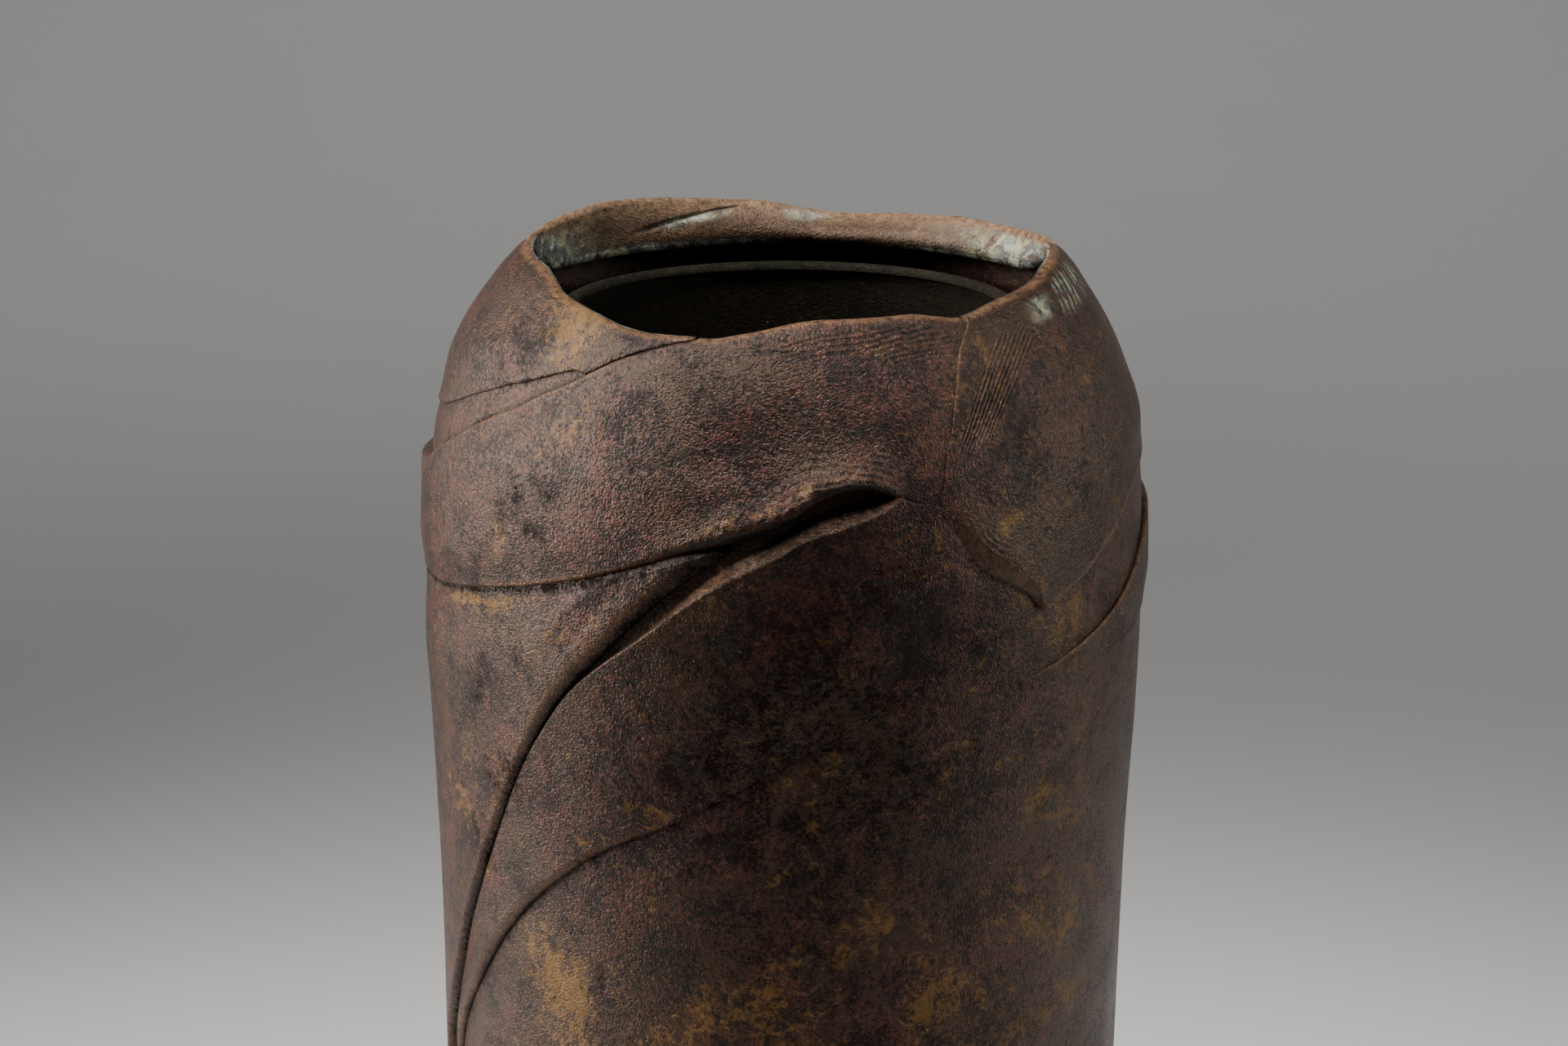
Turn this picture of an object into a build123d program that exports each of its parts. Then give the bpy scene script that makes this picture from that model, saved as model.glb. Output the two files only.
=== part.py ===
from build123d import *
import math
import os

# A cast and wrapped bronze flower vessel: a slightly tapering round trunk with a drawn-in neck,
# wrapped in thin bronze sheets that overlap like the sheaths of a shoot, and an open uneven mouth.
# A copper water liner stands loose inside it and lifts straight out.
# The frame: +Z up, the origin at the centre of the foot, -Y the front, +X the right hand side.
# A place on the vessel is a wrap angle, in degrees from the front and growing to the right, round
# the back, and past 360 where a sheet comes round again, and a height.

# Driving dimensions, in millimetres
shoulder_height = 200.0
foot_radius = 50.0

trunk_thickness = 1.8
trunk_top_gap = 7.5
# How high the mouth is, as a share of shoulder_height, for the pieces that hang from it
mouth_share = 1.17

foot_flange_height = 3.6
foot_flange_overhang = 1.5
foot_flange_width = 7.0
spigot_height = 9.0
spigot_thickness = 2.4
base_thickness = 2.2
solder_leg = 2.0

sheet_thickness = 1.3
neck_edge_thickness = 0.55
band_edge_thickness = 1.5
band_low_thickness = 1.25
band_tail_thickness = 0.5
tucked_thickness = 0.5
fade_thickness = 0.35
lip_thickness = 2.0
stack_thickness = 2.3
fit_gap = 0.1

neck_tuck = 5.0
sheet_tuck = 5.0
edge_ramp = 4.0
tuck_ramp = 3.0

collar_thickness = 2.0
collar_drop = 6.6
collar_lead_in = 0.8
collar_tip_height = 1.6

seam_width = 2.2
seam_rise = 0.5

liner_radius = 35.2
liner_thickness = 0.8
liner_floor_thickness = 1.2
liner_rim_radius = 1.2
liner_stand_gap = 0.2
liner_below_mouth = 8.5

# How closely the sections of a wrapped sheet follow each other, in degrees: fine_step where an edge
# climbs steeply. Then the points along one section of a low sheet, a tall one and a small piece.
section_step = 6.0
fine_step = 2.0
section_points = 17
tall_points = 33
small_points = 9
trunk_points = 57

# The trunk's outer line, and above its top the inner face of the sheets that make the neck:
# height as a share of shoulder_height, radius as a share of foot_radius
outline_shares = [
    (0.000, 1.000), (0.200, 1.020), (0.400, 1.041), (0.520, 1.055), (0.620, 1.063), (0.670, 1.070),
    (0.720, 1.080), (0.770, 1.092), (0.820, 1.105), (0.870, 1.117), (0.910, 1.123), (0.950, 1.124),
    (0.980, 1.119), (1.000, 1.113), (1.020, 1.104), (1.040, 1.091), (1.060, 1.066), (1.080, 1.036),
    (1.100, 1.005), (1.120, 0.965), (1.1325, 0.934), (1.145, 0.900), (1.155, 0.872), (1.165, 0.837),
    (1.175, 0.798), (1.185, 0.752),
]

# Edges of the sheets: wrap angle, then height as a share of shoulder_height
rim_shares = [
    (-115, 1.181), (-100, 1.177), (-90, 1.175), (-66, 1.172), (-52, 1.160), (-38, 1.150),
    (-26, 1.144), (-15, 1.144), (-4, 1.151), (7, 1.157), (24, 1.1575), (34, 1.152), (43, 1.157),
    (56, 1.162), (70, 1.169), (90, 1.172), (103, 1.169), (126, 1.165), (139, 1.166), (157, 1.162),
    (168, 1.160), (180, 1.167), (194, 1.174), (210, 1.180), (226, 1.184), (238, 1.182),
    (254, 1.176), (270, 1.175),
]
band_top_shares = [
    (38, 0.880), (44, 0.884), (50, 0.892), (60, 0.908), (68, 0.925), (80, 0.950), (90, 0.968),
    (110, 0.980), (150, 0.991), (200, 1.000), (240, 1.006), (265, 1.011), (280, 1.020),
    (289, 1.036), (300, 1.0615), (311, 1.086), (319, 1.1025), (326, 1.119), (333, 1.132),
    (338, 1.139), (343, 1.143),
]
band_low_shares = [
    (38, 0.876), (56, 0.886), (75, 0.893), (100, 0.898), (150, 0.905), (200, 0.912), (250, 0.920),
    (280, 0.927), (291, 0.930), (300, 0.9365), (309, 0.945), (317, 0.9535), (323, 0.961),
    (329, 0.969), (335, 0.979), (340, 0.990), (345, 1.004), (349, 1.0165), (353, 1.024),
    (358, 1.027), (361, 1.034), (365, 1.0445), (369, 1.049), (373, 1.0505), (377, 1.0435),
    (380, 1.033), (383, 1.0265),
]
seam_shares = [(382, 1.027), (385, 1.040), (387, 1.060), (389, 1.080), (390.5, 1.105), (393, 1.129),
               (395.5, 1.149)]
neck_low_shares = [
    (22.5, 1.026), (25, 1.010), (27, 1.000), (30.5, 0.9865), (33, 0.976), (35, 0.9675), (38, 0.9595),
    (40.5, 0.953), (42.3, 0.938), (44, 0.933), (47, 0.9395), (51, 0.947), (54, 0.954), (58.5, 0.9655),
    (63, 0.9765), (68, 0.987), (74, 1.000), (82, 1.012), (100, 1.023), (140, 1.031), (180, 1.036),
    (220, 1.041), (255, 1.048), (278, 1.057), (296, 1.080), (305, 1.0935), (310, 1.0995),
    (316, 1.1085), (320, 1.114),
]
neck_joint_shares = [(157, 1.040), (160, 1.075), (163, 1.105), (166, 1.135), (169, 1.158)]
left_low_shares = [
    (256, 0.020), (259, 0.130), (263, 0.260), (268, 0.380), (274, 0.480), (279.6, 0.543),
    (285.4, 0.580), (289, 0.610), (295, 0.660), (301.4, 0.709), (307.2, 0.754), (314.2, 0.810),
    (320.4, 0.851), (325.5, 0.880), (332, 0.909), (336.7, 0.935), (343, 0.963), (349, 0.986),
    (352, 0.998),
]
left_back_shares = [(150, 0.040), (155, 0.150), (160, 0.290), (166, 0.480), (171, 0.670),
                    (175, 0.830), (178, 0.925)]
front_low_shares = [
    (-84, 0.503), (-80, 0.529), (-74, 0.564), (-69.7, 0.5865), (-64, 0.614), (-58, 0.645),
    (-51, 0.6785), (-45, 0.705), (-39, 0.727), (-32.5, 0.750), (-26.5, 0.766), (-20.5, 0.780),
    (-14, 0.797), (-1.5, 0.8325), (8.5, 0.858), (16, 0.876), (24, 0.894), (30.5, 0.911),
    (37, 0.927), (42, 0.936), (46, 0.943),
]
front_top_shares = [
    (-84, 0.515), (-80, 0.555), (-74, 0.595), (-65, 0.672), (-56, 0.742), (-51, 0.782), (-46, 0.819),
    (-40, 0.857), (-34.5, 0.8825), (-28, 0.9075), (-22.5, 0.9275), (-16, 0.951), (-10, 0.972),
    (-3, 0.9915), (2.5, 1.0075), (7, 1.0145), (11, 1.021), (14.5, 1.0275), (17, 1.035),
    (20, 1.041), (23, 1.034), (27, 1.017), (33, 0.992), (38, 0.975), (42, 0.966), (46, 0.960),
]
# The turned-in collar of the mouth: how far its face leans in, as a share of foot_radius
collar_face_shares = [(96, 0.835), (110, 0.800), (130, 0.776), (170, 0.762), (200, 0.764),
                      (225, 0.778), (245, 0.800), (264, 0.835)]

trunk_bottom = foot_flange_height
mouth_height = shoulder_height * mouth_share
trunk_top = mouth_height - trunk_top_gap
base_bottom = foot_flange_height
base_top = base_bottom + base_thickness


def curve_value(points, place):
    """Height of a smooth curve through the points, without overshoot, at one place."""
    if place <= points[0][0]:
        return points[0][1]
    if place >= points[-1][0]:
        return points[-1][1]
    index = 0
    while points[index + 1][0] < place:
        index += 1
    slopes = []
    for left in range(index - 1, index + 2):
        if 0 <= left < len(points) - 1:
            rise = points[left + 1][1] - points[left][1]
            slopes.append(rise / (points[left + 1][0] - points[left][0]))
        else:
            slopes.append(None)
    before, here, after = slopes
    width = points[index + 1][0] - points[index][0]

    def tangent(one, other):
        if one is None or other is None or one * other <= 0:
            return 0.0 if one is not None and other is not None else here
        return 2 * one * other / (one + other)

    start, end = tangent(before, here), tangent(here, after)
    t = (place - points[index][0]) / width
    low, high = points[index][1], points[index + 1][1]
    return (low * (1 + 2 * t) * (1 - t) ** 2 + high * t * t * (3 - 2 * t)
            + width * (start * t * (1 - t) ** 2 - end * t * t * (1 - t)))


def ease(value, start, end):
    """Goes smoothly from 0 at start to 1 at end."""
    t = min(max((value - start) / (end - start), 0.0), 1.0)
    return t * t * (3 - 2 * t)


def edge_height(shares, angle):
    return curve_value(shares, angle) * shoulder_height


def rim_height(angle):
    turned = (angle + 90) % 360 - 90
    return edge_height(rim_shares, turned)


def base_radius(height):
    """Radius of the trunk's outer face, and of the sheets' inner face above it."""
    return curve_value(outline_shares, height / shoulder_height) * foot_radius


def place(angle, radius, height):
    turn = math.radians(angle)
    return Vector(radius * math.sin(turn), -radius * math.cos(turn), height)


def steps(*stretches):
    """Angles along stretches of (start, end, step), each stretch evenly spaced."""
    angles = [stretches[0][0]]
    for start, end, step in stretches:
        count = math.ceil((end - start) / step)
        angles += [start + (end - start) * (i + 1) / count for i in range(count)]
    return angles


def section(angle, low, high, inner, outer, count):
    """One closed outline of a sheet, in the upright plane through the axis at that angle."""
    spread = [(1 - math.cos(math.pi * i / (count - 1))) / 2 for i in range(count)]
    heights = [low + (high - low) * share for share in spread]
    face = [place(angle, outer(angle, z), z) for z in heights]
    back = [place(angle, inner(angle, z), z) for z in heights]
    edges = [Edge.make_spline(face), Edge.make_line(face[-1], back[-1]),
             Edge.make_spline(back[::-1]), Edge.make_line(back[0], face[0])]
    return Wire(edges)


def sheet(angles, low, high, inner, outer, count=section_points):
    """A thin curved sheet between two edges, lofted through its upright sections."""
    wires = [section(a, low(a), high(a), inner, outer, count) for a in angles]
    return Solid.make_loft(wires)


def disc(radius, bottom, top):
    return Pos(0, 0, bottom) * Cylinder(radius, top - bottom, align=(Align.CENTER, Align.CENTER, Align.MIN))


def ring(outer_radius, inner_radius, bottom, top):
    return disc(outer_radius, bottom, top) - disc(inner_radius, bottom, top)


def make_trunk():
    """The round wall that everything is wrapped on, open at the top and bottom."""
    heights = [trunk_bottom + (trunk_top - trunk_bottom) * i / (trunk_points - 1)
               for i in range(trunk_points)]
    face = [(base_radius(z), z) for z in heights]
    back = [(base_radius(z) - trunk_thickness, z) for z in heights]
    edges = [Edge.make_spline([Vector(r, 0, z) for r, z in face]),
             Edge.make_line(Vector(face[-1][0], 0, trunk_top), Vector(back[-1][0], 0, trunk_top)),
             Edge.make_spline([Vector(r, 0, z) for r, z in back[::-1]]),
             Edge.make_line(Vector(back[0][0], 0, trunk_bottom), Vector(face[0][0], 0, trunk_bottom))]
    return revolve(Face(Wire(edges)), Axis.Z)


def spigot_inside():
    trunk_radius = min(base_radius(trunk_bottom + spigot_height), base_radius(trunk_bottom))
    return trunk_radius - trunk_thickness - fit_gap - spigot_thickness


def make_foot_ring():
    """A flange that the vessel stands on, with a spigot up inside the trunk."""
    spigot_outside = spigot_inside() + spigot_thickness
    flange_outside = base_radius(trunk_bottom) + foot_flange_overhang
    flange_inside = spigot_outside - foot_flange_width
    flange = ring(flange_outside, flange_inside, 0, foot_flange_height - fit_gap)
    spigot = ring(spigot_outside, spigot_inside(), 0, foot_flange_height + spigot_height)
    edge = flange.edges().filter_by(GeomType.CIRCLE).group_by(Axis.Z)[-1].sort_by(SortBy.RADIUS)[-1]
    return fillet(edge, foot_flange_height / 3) + spigot


def make_base_plate():
    return disc(spigot_inside() - fit_gap, base_bottom, base_top)


def make_base_solder():
    """A fillet of solder round the inside corner between the base plate and the spigot."""
    outer = spigot_inside() - fit_gap
    corner = [(outer - solder_leg, 0, base_top), (outer, 0, base_top), (outer, 0, base_top + solder_leg)]
    hollow = ThreePointArc(corner[2], (outer - solder_leg * 0.3, 0, base_top + solder_leg * 0.3), corner[0])
    outline = Wire([Edge.make_line(corner[0], corner[1]), Edge.make_line(corner[1], corner[2]), hollow.edge()])
    return revolve(Face(outline), Axis.Z)


def under_left(angle, height):
    """How far a sheet stands off the trunk to clear the front sheet's tucked edge."""
    top = edge_height(front_top_shares, angle - 360)
    reach = ease(angle, 272, 280) * (1 - ease(angle, 330, 336))
    return (tucked_thickness + fit_gap) * reach * (1 - ease(height, top, top + tuck_ramp))


def make_front_sheath():
    """The broad front sheet: it rises from the left foot to the long fold below the mouth."""
    def low(angle):
        return edge_height(front_low_shares, angle)

    def high(angle):
        return edge_height(front_top_shares, angle)

    def face(angle, height):
        tucked_edge = edge_height(left_low_shares, angle + 360)
        tucked = (1 - ease(angle, -32, -24)) * ease(height, tucked_edge - tuck_ramp / 2, tucked_edge)
        lip = ease(angle, -30, -16) * (1 - ease(angle, 14, 19)) * ease(height, high(angle) - 2 * edge_ramp,
                                                                     high(angle))
        right_end = ease(angle, 17, 24)
        fade = ease(angle, -22, 4) * (1 - ease(height, low(angle), low(angle) + 3 * edge_ramp))
        body = sheet_thickness + (lip_thickness - sheet_thickness) * lip
        body += (fade_thickness - body) * fade
        body += (tucked_thickness - body) * max(tucked, right_end * ease(height, high(angle) - 3 * edge_ramp,
                                                                         high(angle) - edge_ramp))
        return base_radius(height) + body

    def back(angle, height):
        return base_radius(height) + fit_gap

    return sheet(steps((-84, -48, 3), (-48, 46, 4)), low, high, back, face)


def make_left_sheath():
    """The sheet that covers the left side and the back, with its free edge swept up the front."""
    def low(angle):
        if angle < left_low_shares[0][0]:
            return trunk_bottom
        return max(edge_height(left_low_shares, angle), trunk_bottom)

    def high(angle):
        if angle < left_back_shares[-1][0]:
            return edge_height(left_back_shares, angle)
        rise = ease(angle, left_back_shares[-1][0], left_back_shares[-1][0] + section_step)
        tuck = sheet_tuck * rise * (1 - ease(angle, 344, 352))
        return edge_height(band_low_shares, angle) + tuck

    def face(angle, height):
        deep = 1 - ease(height, 0.52 * shoulder_height, 0.88 * shoulder_height)
        deep *= ease(height, trunk_bottom, 0.3 * shoulder_height)
        body = sheet_thickness + (stack_thickness - sheet_thickness) * deep * ease(angle, 180, 255)
        band_edge = edge_height(band_low_shares, angle)
        tucked = ease(angle, 172, 178) * ease(height, band_edge - tuck_ramp / 2, band_edge)
        return base_radius(height) + body + (tucked_thickness - body) * tucked

    def back(angle, height):
        return base_radius(height) + fit_gap + under_left(angle, height)

    angles = steps((150, 184, fine_step), (184, 250, section_step), (250, 352, fine_step))
    return sheet(angles, low, high, back, face, tall_points)


def make_shoulder_band():
    """The long leaf that starts as a point at the right, goes round the back and up to the mouth."""
    last_angle = seam_shares[-1][0] - 1.5

    def low(angle):
        if angle > band_low_shares[-1][0]:
            return edge_height(seam_shares, angle)
        return edge_height(band_low_shares, angle)

    def high(angle):
        if angle > band_top_shares[-1][0]:
            return rim_height(angle)
        return edge_height(band_top_shares, angle)

    def face(angle, height):
        tail = 1 - ease(angle, 40, 84)
        up = ease(height, low(angle), high(angle))
        body = band_low_thickness + (band_edge_thickness - band_low_thickness) * up
        body += (band_tail_thickness - body) * tail
        body += (lip_thickness - body) * ease(angle, 342, 350) * (1 - ease(angle, 372, 378)) * (
            1 - ease(height, low(angle), low(angle) + 2 * edge_ramp))
        body += (sheet_thickness - body) * ease(angle, 376, 386)
        return base_radius(height) + body

    def back(angle, height):
        over_left = ease(angle, 140, 150) * (1 - ease(angle, 352, 356))
        top = low(angle) + sheet_tuck
        lift = over_left * (1 - ease(height, top, top + tuck_ramp))
        over_neck = ease(angle, 304, 314) * (1 - ease(angle, 346, 350))
        bottom = high(angle) - neck_tuck
        lift = max(lift, over_neck * ease(height, bottom - tuck_ramp, bottom))
        return base_radius(height) + fit_gap + (tucked_thickness + fit_gap) * lift

    angles = steps((38, 272, section_step), (272, 380, 3), (380, last_angle, 1))
    return sheet(angles, low, high, back, face)


def neck_face(angle, height, low):
    """Outer face of the neck sheets: thin at the lower edge, full thickness above it."""
    flap = 1 - ease(angle, 40, 46)
    edge = neck_edge_thickness + (band_edge_thickness - neck_edge_thickness) * flap
    return base_radius(height) + edge + (sheet_thickness - edge) * ease(height, low, low + 2 * edge_ramp)


def make_right_neck_sheath():
    """The right half of the neck, from its flap at the front round to under the left half."""
    def low(angle):
        return edge_height(neck_low_shares, angle)

    def high(angle):
        if angle + 360 < seam_shares[-1][0]:
            return edge_height(seam_shares, angle + 360) - 4 * fit_gap
        return rim_height(angle)

    def face(angle, height):
        body = neck_face(angle, height, low(angle))
        joint = ease(angle, 150, 156)
        return body + (base_radius(height) + tucked_thickness - body) * joint

    def back(angle, height):
        over = (1 - ease(angle, 46, 52)) * (1 - ease(height, edge_height(front_top_shares, angle),
                                                      edge_height(front_top_shares, angle) + tuck_ramp))
        return base_radius(height) + fit_gap + (tucked_thickness + fit_gap) * over

    return sheet(steps((24, 48, 1.5), (48, 176, 4)), low, high, back, face)


def make_left_neck_sheath():
    """The left half of the neck: at the back it laps over the right half, with a slanted edge."""
    def low(angle):
        if angle > neck_low_shares[-1][0]:
            return edge_height(band_top_shares, angle) - neck_tuck
        tuck = neck_tuck * ease(angle, 306, 320)
        return edge_height(neck_low_shares, angle) - tuck

    def high(angle):
        if angle < neck_joint_shares[-1][0]:
            return edge_height(neck_joint_shares, angle)
        under_band = ease(angle, 338, 344)
        return rim_height(angle) - under_band * sheet_thickness

    def face(angle, height):
        body = neck_face(angle, height, low(angle))
        band_edge = edge_height(band_top_shares, angle)
        tucked = ease(angle, 306, 314) * (1 - ease(height, band_edge, band_edge + tuck_ramp / 2))
        return body + (base_radius(height) + tucked_thickness - body) * tucked

    def back(angle, height):
        over = 1 - ease(angle, 176, 182)
        return base_radius(height) + fit_gap + (tucked_thickness + fit_gap) * over

    return sheet(steps((157, 171, 1), (171, 300, section_step), (300, 346, 2)), low, high, back, face)


def make_collar(start, end, side):
    """A turned-in lip that hangs inside the back of the mouth, tapering to its outer end."""
    bottom_height = mouth_height - collar_drop

    def low(angle):
        taper = ease(angle, start, start + 14) if side == "right" else 1 - ease(angle, end - 14, end)
        return bottom_height + (rim_height(angle) - collar_lead_in - collar_tip_height - bottom_height) * (1 - taper)

    def high(angle):
        return rim_height(angle) - collar_lead_in

    def face(angle, height):
        wall = base_radius(height) - fit_gap
        inside = curve_value(collar_face_shares, angle) * foot_radius
        return min(wall, inside + collar_thickness)

    def back(angle, height):
        inside = curve_value(collar_face_shares, angle) * foot_radius
        return min(inside, base_radius(height) - fit_gap - collar_thickness / 2)

    return sheet(steps((start, end, fine_step)), low, high, back, face, small_points)


def make_seam_bead():
    """A low gritty bead of hard solder along the join between the band and the neck flap."""
    def track(share):
        first, last = seam_shares[2][0], seam_shares[-1][0]
        angle = first + (last - first) * share
        return angle, edge_height(seam_shares, angle)

    wires = []
    count = small_points
    for index in range(count):
        angle, height = track(index / (count - 1))
        radius = base_radius(height) + band_edge_thickness + fit_gap
        swing = math.degrees(seam_width / 2 / radius)
        corners = [place(angle - swing, radius, height), place(angle, radius + seam_rise, height),
                   place(angle + swing, radius, height)]
        arc = Edge.make_three_point_arc(*corners)
        wires.append(Wire([arc, Edge.make_line(corners[2], corners[0])]))
    return Solid.make_loft(wires)


def make_liner():
    """The liner: a straight copper tube with a floor and a rolled rim."""
    bottom = base_top + liner_stand_gap
    top = mouth_height - liner_below_mouth - liner_rim_radius
    tube = ring(liner_radius, liner_radius - liner_thickness, bottom + liner_floor_thickness, top)
    floor = disc(liner_radius, bottom, bottom + liner_floor_thickness)
    middle = liner_radius - liner_thickness / 2
    bead = Pos(0, 0, top) * Torus(middle, liner_rim_radius)
    below = disc(middle + 2 * liner_rim_radius, top - liner_rim_radius, top)
    return {"liner_tube": tube, "liner_floor": floor, "liner_rim": bead - below}


def build():
    pieces = {
        "trunk_wall": make_trunk(),
        "foot_ring": make_foot_ring(),
        "base_plate": make_base_plate(),
        "base_solder": make_base_solder(),
        "front_sheath": make_front_sheath(),
        "left_sheath": make_left_sheath(),
        "shoulder_band": make_shoulder_band(),
        "right_neck_sheath": make_right_neck_sheath(),
        "left_neck_sheath": make_left_neck_sheath(),
        "right_collar": make_collar(96, 172, "right"),
        "left_collar": make_collar(172.5, 264, "left"),
        "seam_bead": make_seam_bead(),
    }
    pieces.update(make_liner())
    return pieces


os.makedirs("parts", exist_ok=True)
for name, piece in build().items():
    print(name, "volume", round(piece.volume, 1), "solids", len(piece.solids()), "valid", piece.is_valid)
    export_step(piece, f"parts/{name}.step")
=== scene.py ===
"""A wrapped bronze flower vessel, dressed for a studio picture.

Every leaf of the vessel is a closed mesh built from upright sections. A place on it is a wrap
angle, in degrees from the front and growing to the right round the back, and a height in
millimetres. Edges are smooth curves through a few listed points.
"""

import logging
import math
from dataclasses import dataclass, field
from enum import Enum

import bpy
import numpy as np
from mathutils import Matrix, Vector


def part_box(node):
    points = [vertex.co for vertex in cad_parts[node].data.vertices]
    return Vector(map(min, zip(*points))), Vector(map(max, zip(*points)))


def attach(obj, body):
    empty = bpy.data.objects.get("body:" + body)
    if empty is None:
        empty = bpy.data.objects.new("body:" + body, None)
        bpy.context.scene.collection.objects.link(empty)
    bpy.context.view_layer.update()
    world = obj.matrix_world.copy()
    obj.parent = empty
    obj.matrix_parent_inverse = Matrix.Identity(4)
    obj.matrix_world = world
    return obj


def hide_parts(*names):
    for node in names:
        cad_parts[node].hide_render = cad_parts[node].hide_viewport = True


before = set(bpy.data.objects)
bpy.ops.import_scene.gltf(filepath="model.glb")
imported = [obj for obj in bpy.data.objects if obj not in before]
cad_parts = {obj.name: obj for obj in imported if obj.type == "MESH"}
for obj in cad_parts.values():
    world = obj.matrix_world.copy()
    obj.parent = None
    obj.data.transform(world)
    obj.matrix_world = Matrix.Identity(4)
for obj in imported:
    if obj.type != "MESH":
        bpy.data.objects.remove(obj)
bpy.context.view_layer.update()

Grid = np.ndarray
Tone = tuple[float, float, float]
Stretches = tuple[tuple[float, float, float], ...]

MM = 0.001
# The trunk's top as a share of the shoulder height, and its widest radius as a share of the foot's
TRUNK_TOP_SHARE = 1.1325
TRUNK_WIDE_SHARE = 1.124
TRUNK_LOW_CORNER, TRUNK_HIGH_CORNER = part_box("trunk_wall")
TRUNK_BOTTOM = TRUNK_LOW_CORNER[2] / MM
TRUNK_TOP = TRUNK_HIGH_CORNER[2] / MM
SHOULDER_HEIGHT = TRUNK_TOP / TRUNK_TOP_SHARE
FOOT_RADIUS = TRUNK_HIGH_CORNER[0] / MM / TRUNK_WIDE_SHARE
# The trunk's wall, the gap between sheets, a sheet's thickness under its neighbour and in the open
WALL = 1.8
GAP = 0.1
TUCKED = 0.5
LEAF = 1.27
# The shares that each mesh carries for its finish: wear, which also paints sheen, then painted shade, green,
# ochre and dark clouds
MARKS = ("wear_and_sheen", "painted_shade", "green", "ochre", "dark")

log = logging.getLogger("vessel")


class Finish(Enum):
    """Names of the finishes that pieces are dressed in."""

    PATINA = "bronze_patina"
    LIP = "bronze_lip"
    FOOT = "bronze_foot"
    SOLDER = "hard_solder"
    COPPER = "copper"


@dataclass(frozen=True)
class Curve:
    """A smooth curve through chosen points, which never overshoots them."""

    points: tuple[tuple[float, float], ...]
    scale: float = 1.0

    def __call__(self, place: Grid) -> Grid:
        """Reads the curve.

        Args:
            place: where to read it, one value or an array.

        Returns:
            The curve's value at each place, times its scale.
        """
        xs, ys = np.array(self.points, dtype=float).T
        slope = np.diff(ys) / np.diff(xs)
        before, after = slope[:-1], slope[1:]
        same = before * after > 0
        total = np.where(same, before + after, 1.0)
        middle = np.where(same, 2 * before * after / total, 0.0)
        tangent = np.concatenate([slope[:1], middle, slope[-1:]])
        spot = np.clip(place, xs[0], xs[-1])
        index = np.clip(np.searchsorted(xs, spot) - 1, 0, len(xs) - 2)
        width = xs[index + 1] - xs[index]
        t = (spot - xs[index]) / width
        value = ys[index] * (1 + 2 * t) * (1 - t) ** 2 + ys[index + 1] * t * t * (3 - 2 * t)
        value += width * (tangent[index] * t * (1 - t) ** 2 - tangent[index + 1] * t * t * (1 - t))
        return value * self.scale


def heights(*points: tuple[float, float]) -> Curve:
    """An edge line: wrap angle, then height as a share of the shoulder height."""
    return Curve(points, SHOULDER_HEIGHT)


def ease(value: Grid, start: float | Grid, end: float | Grid) -> Grid:
    """Goes smoothly from 0 at start to 1 at end.

    Args:
        value: what is compared with the two limits.
        start: where the result leaves 0.
        end: where the result reaches 1.

    Returns:
        A share from 0 to 1 for each value.
    """
    t = np.clip((value - start) / (end - start), 0.0, 1.0)
    return t * t * (3 - 2 * t)


@dataclass(frozen=True)
class Reach:
    """A stretch that fades in from start to full, and out from fade to end."""

    start: float
    full: float
    fade: float
    end: float

    def __call__(self, value: Grid) -> Grid:
        """The share, from 0 to 1, that the stretch has at each value."""
        return ease(value, self.start, self.full) * (1 - ease(value, self.fade, self.end))


def bell(value: Grid, middle: float | Grid, width: float | Grid) -> Grid:
    """A soft bump, 1 at the middle and about 0 three widths away."""
    return np.exp(-((value - middle) / width) ** 2)


def grooves(lane: Grid, pitch: float) -> Grid:
    """Even grooves and ridges across a lane, from -1 to 1."""
    return np.sin(lane * 2 * math.pi / pitch)


@dataclass(frozen=True)
class Grain:
    """Repeatable lumpy noise, the same in every run."""

    seed: int

    def lattice(self, i: Grid, j: Grid, k: Grid) -> Grid:
        """One fixed value from -1 to 1 for each whole-number place."""
        mixed = (i * 374761393 + j * 668265263 + k * 1442695041 + self.seed * 974634777) & 0xFFFFFFFF
        mixed = ((mixed ^ (mixed >> 13)) * 1274126177) & 0xFFFFFFFF
        mixed = (mixed ^ (mixed >> 16)) & 0xFFFF
        return mixed / 32767.5 - 1.0

    def __call__(self, place: Grid, size: float | tuple[float, float, float]) -> Grid:
        """Noise at each place.

        Args:
            place: points, with x, y and z along the last axis, in millimetres.
            size: how large the lumps are, in millimetres, alike or for each axis.

        Returns:
            A value from -1 to 1 for each point.
        """
        spot = place / np.asarray(size)
        cell = np.floor(spot).astype(np.int64)
        t = spot - cell
        t = t * t * (3 - 2 * t)
        total = np.zeros(place.shape[:-1])
        for corner in range(8):
            step = [(corner >> axis) & 1 for axis in range(3)]
            weight = np.ones(place.shape[:-1])
            for axis in range(3):
                weight = weight * (t[..., axis] if step[axis] else 1 - t[..., axis])
            total += weight * self.lattice(*(cell[..., axis] + step[axis] for axis in range(3)))
        return total


def layered(seed: int, place: Grid, size: float, octaves: int = 3) -> Grid:
    """Noise with finer noise on it, from about -1 to 1."""
    total = np.zeros(place.shape[:-1])
    for octave in range(octaves):
        total += Grain(seed + octave)(place, size / 2 ** octave) / 2 ** octave
    return total / 1.6


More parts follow.
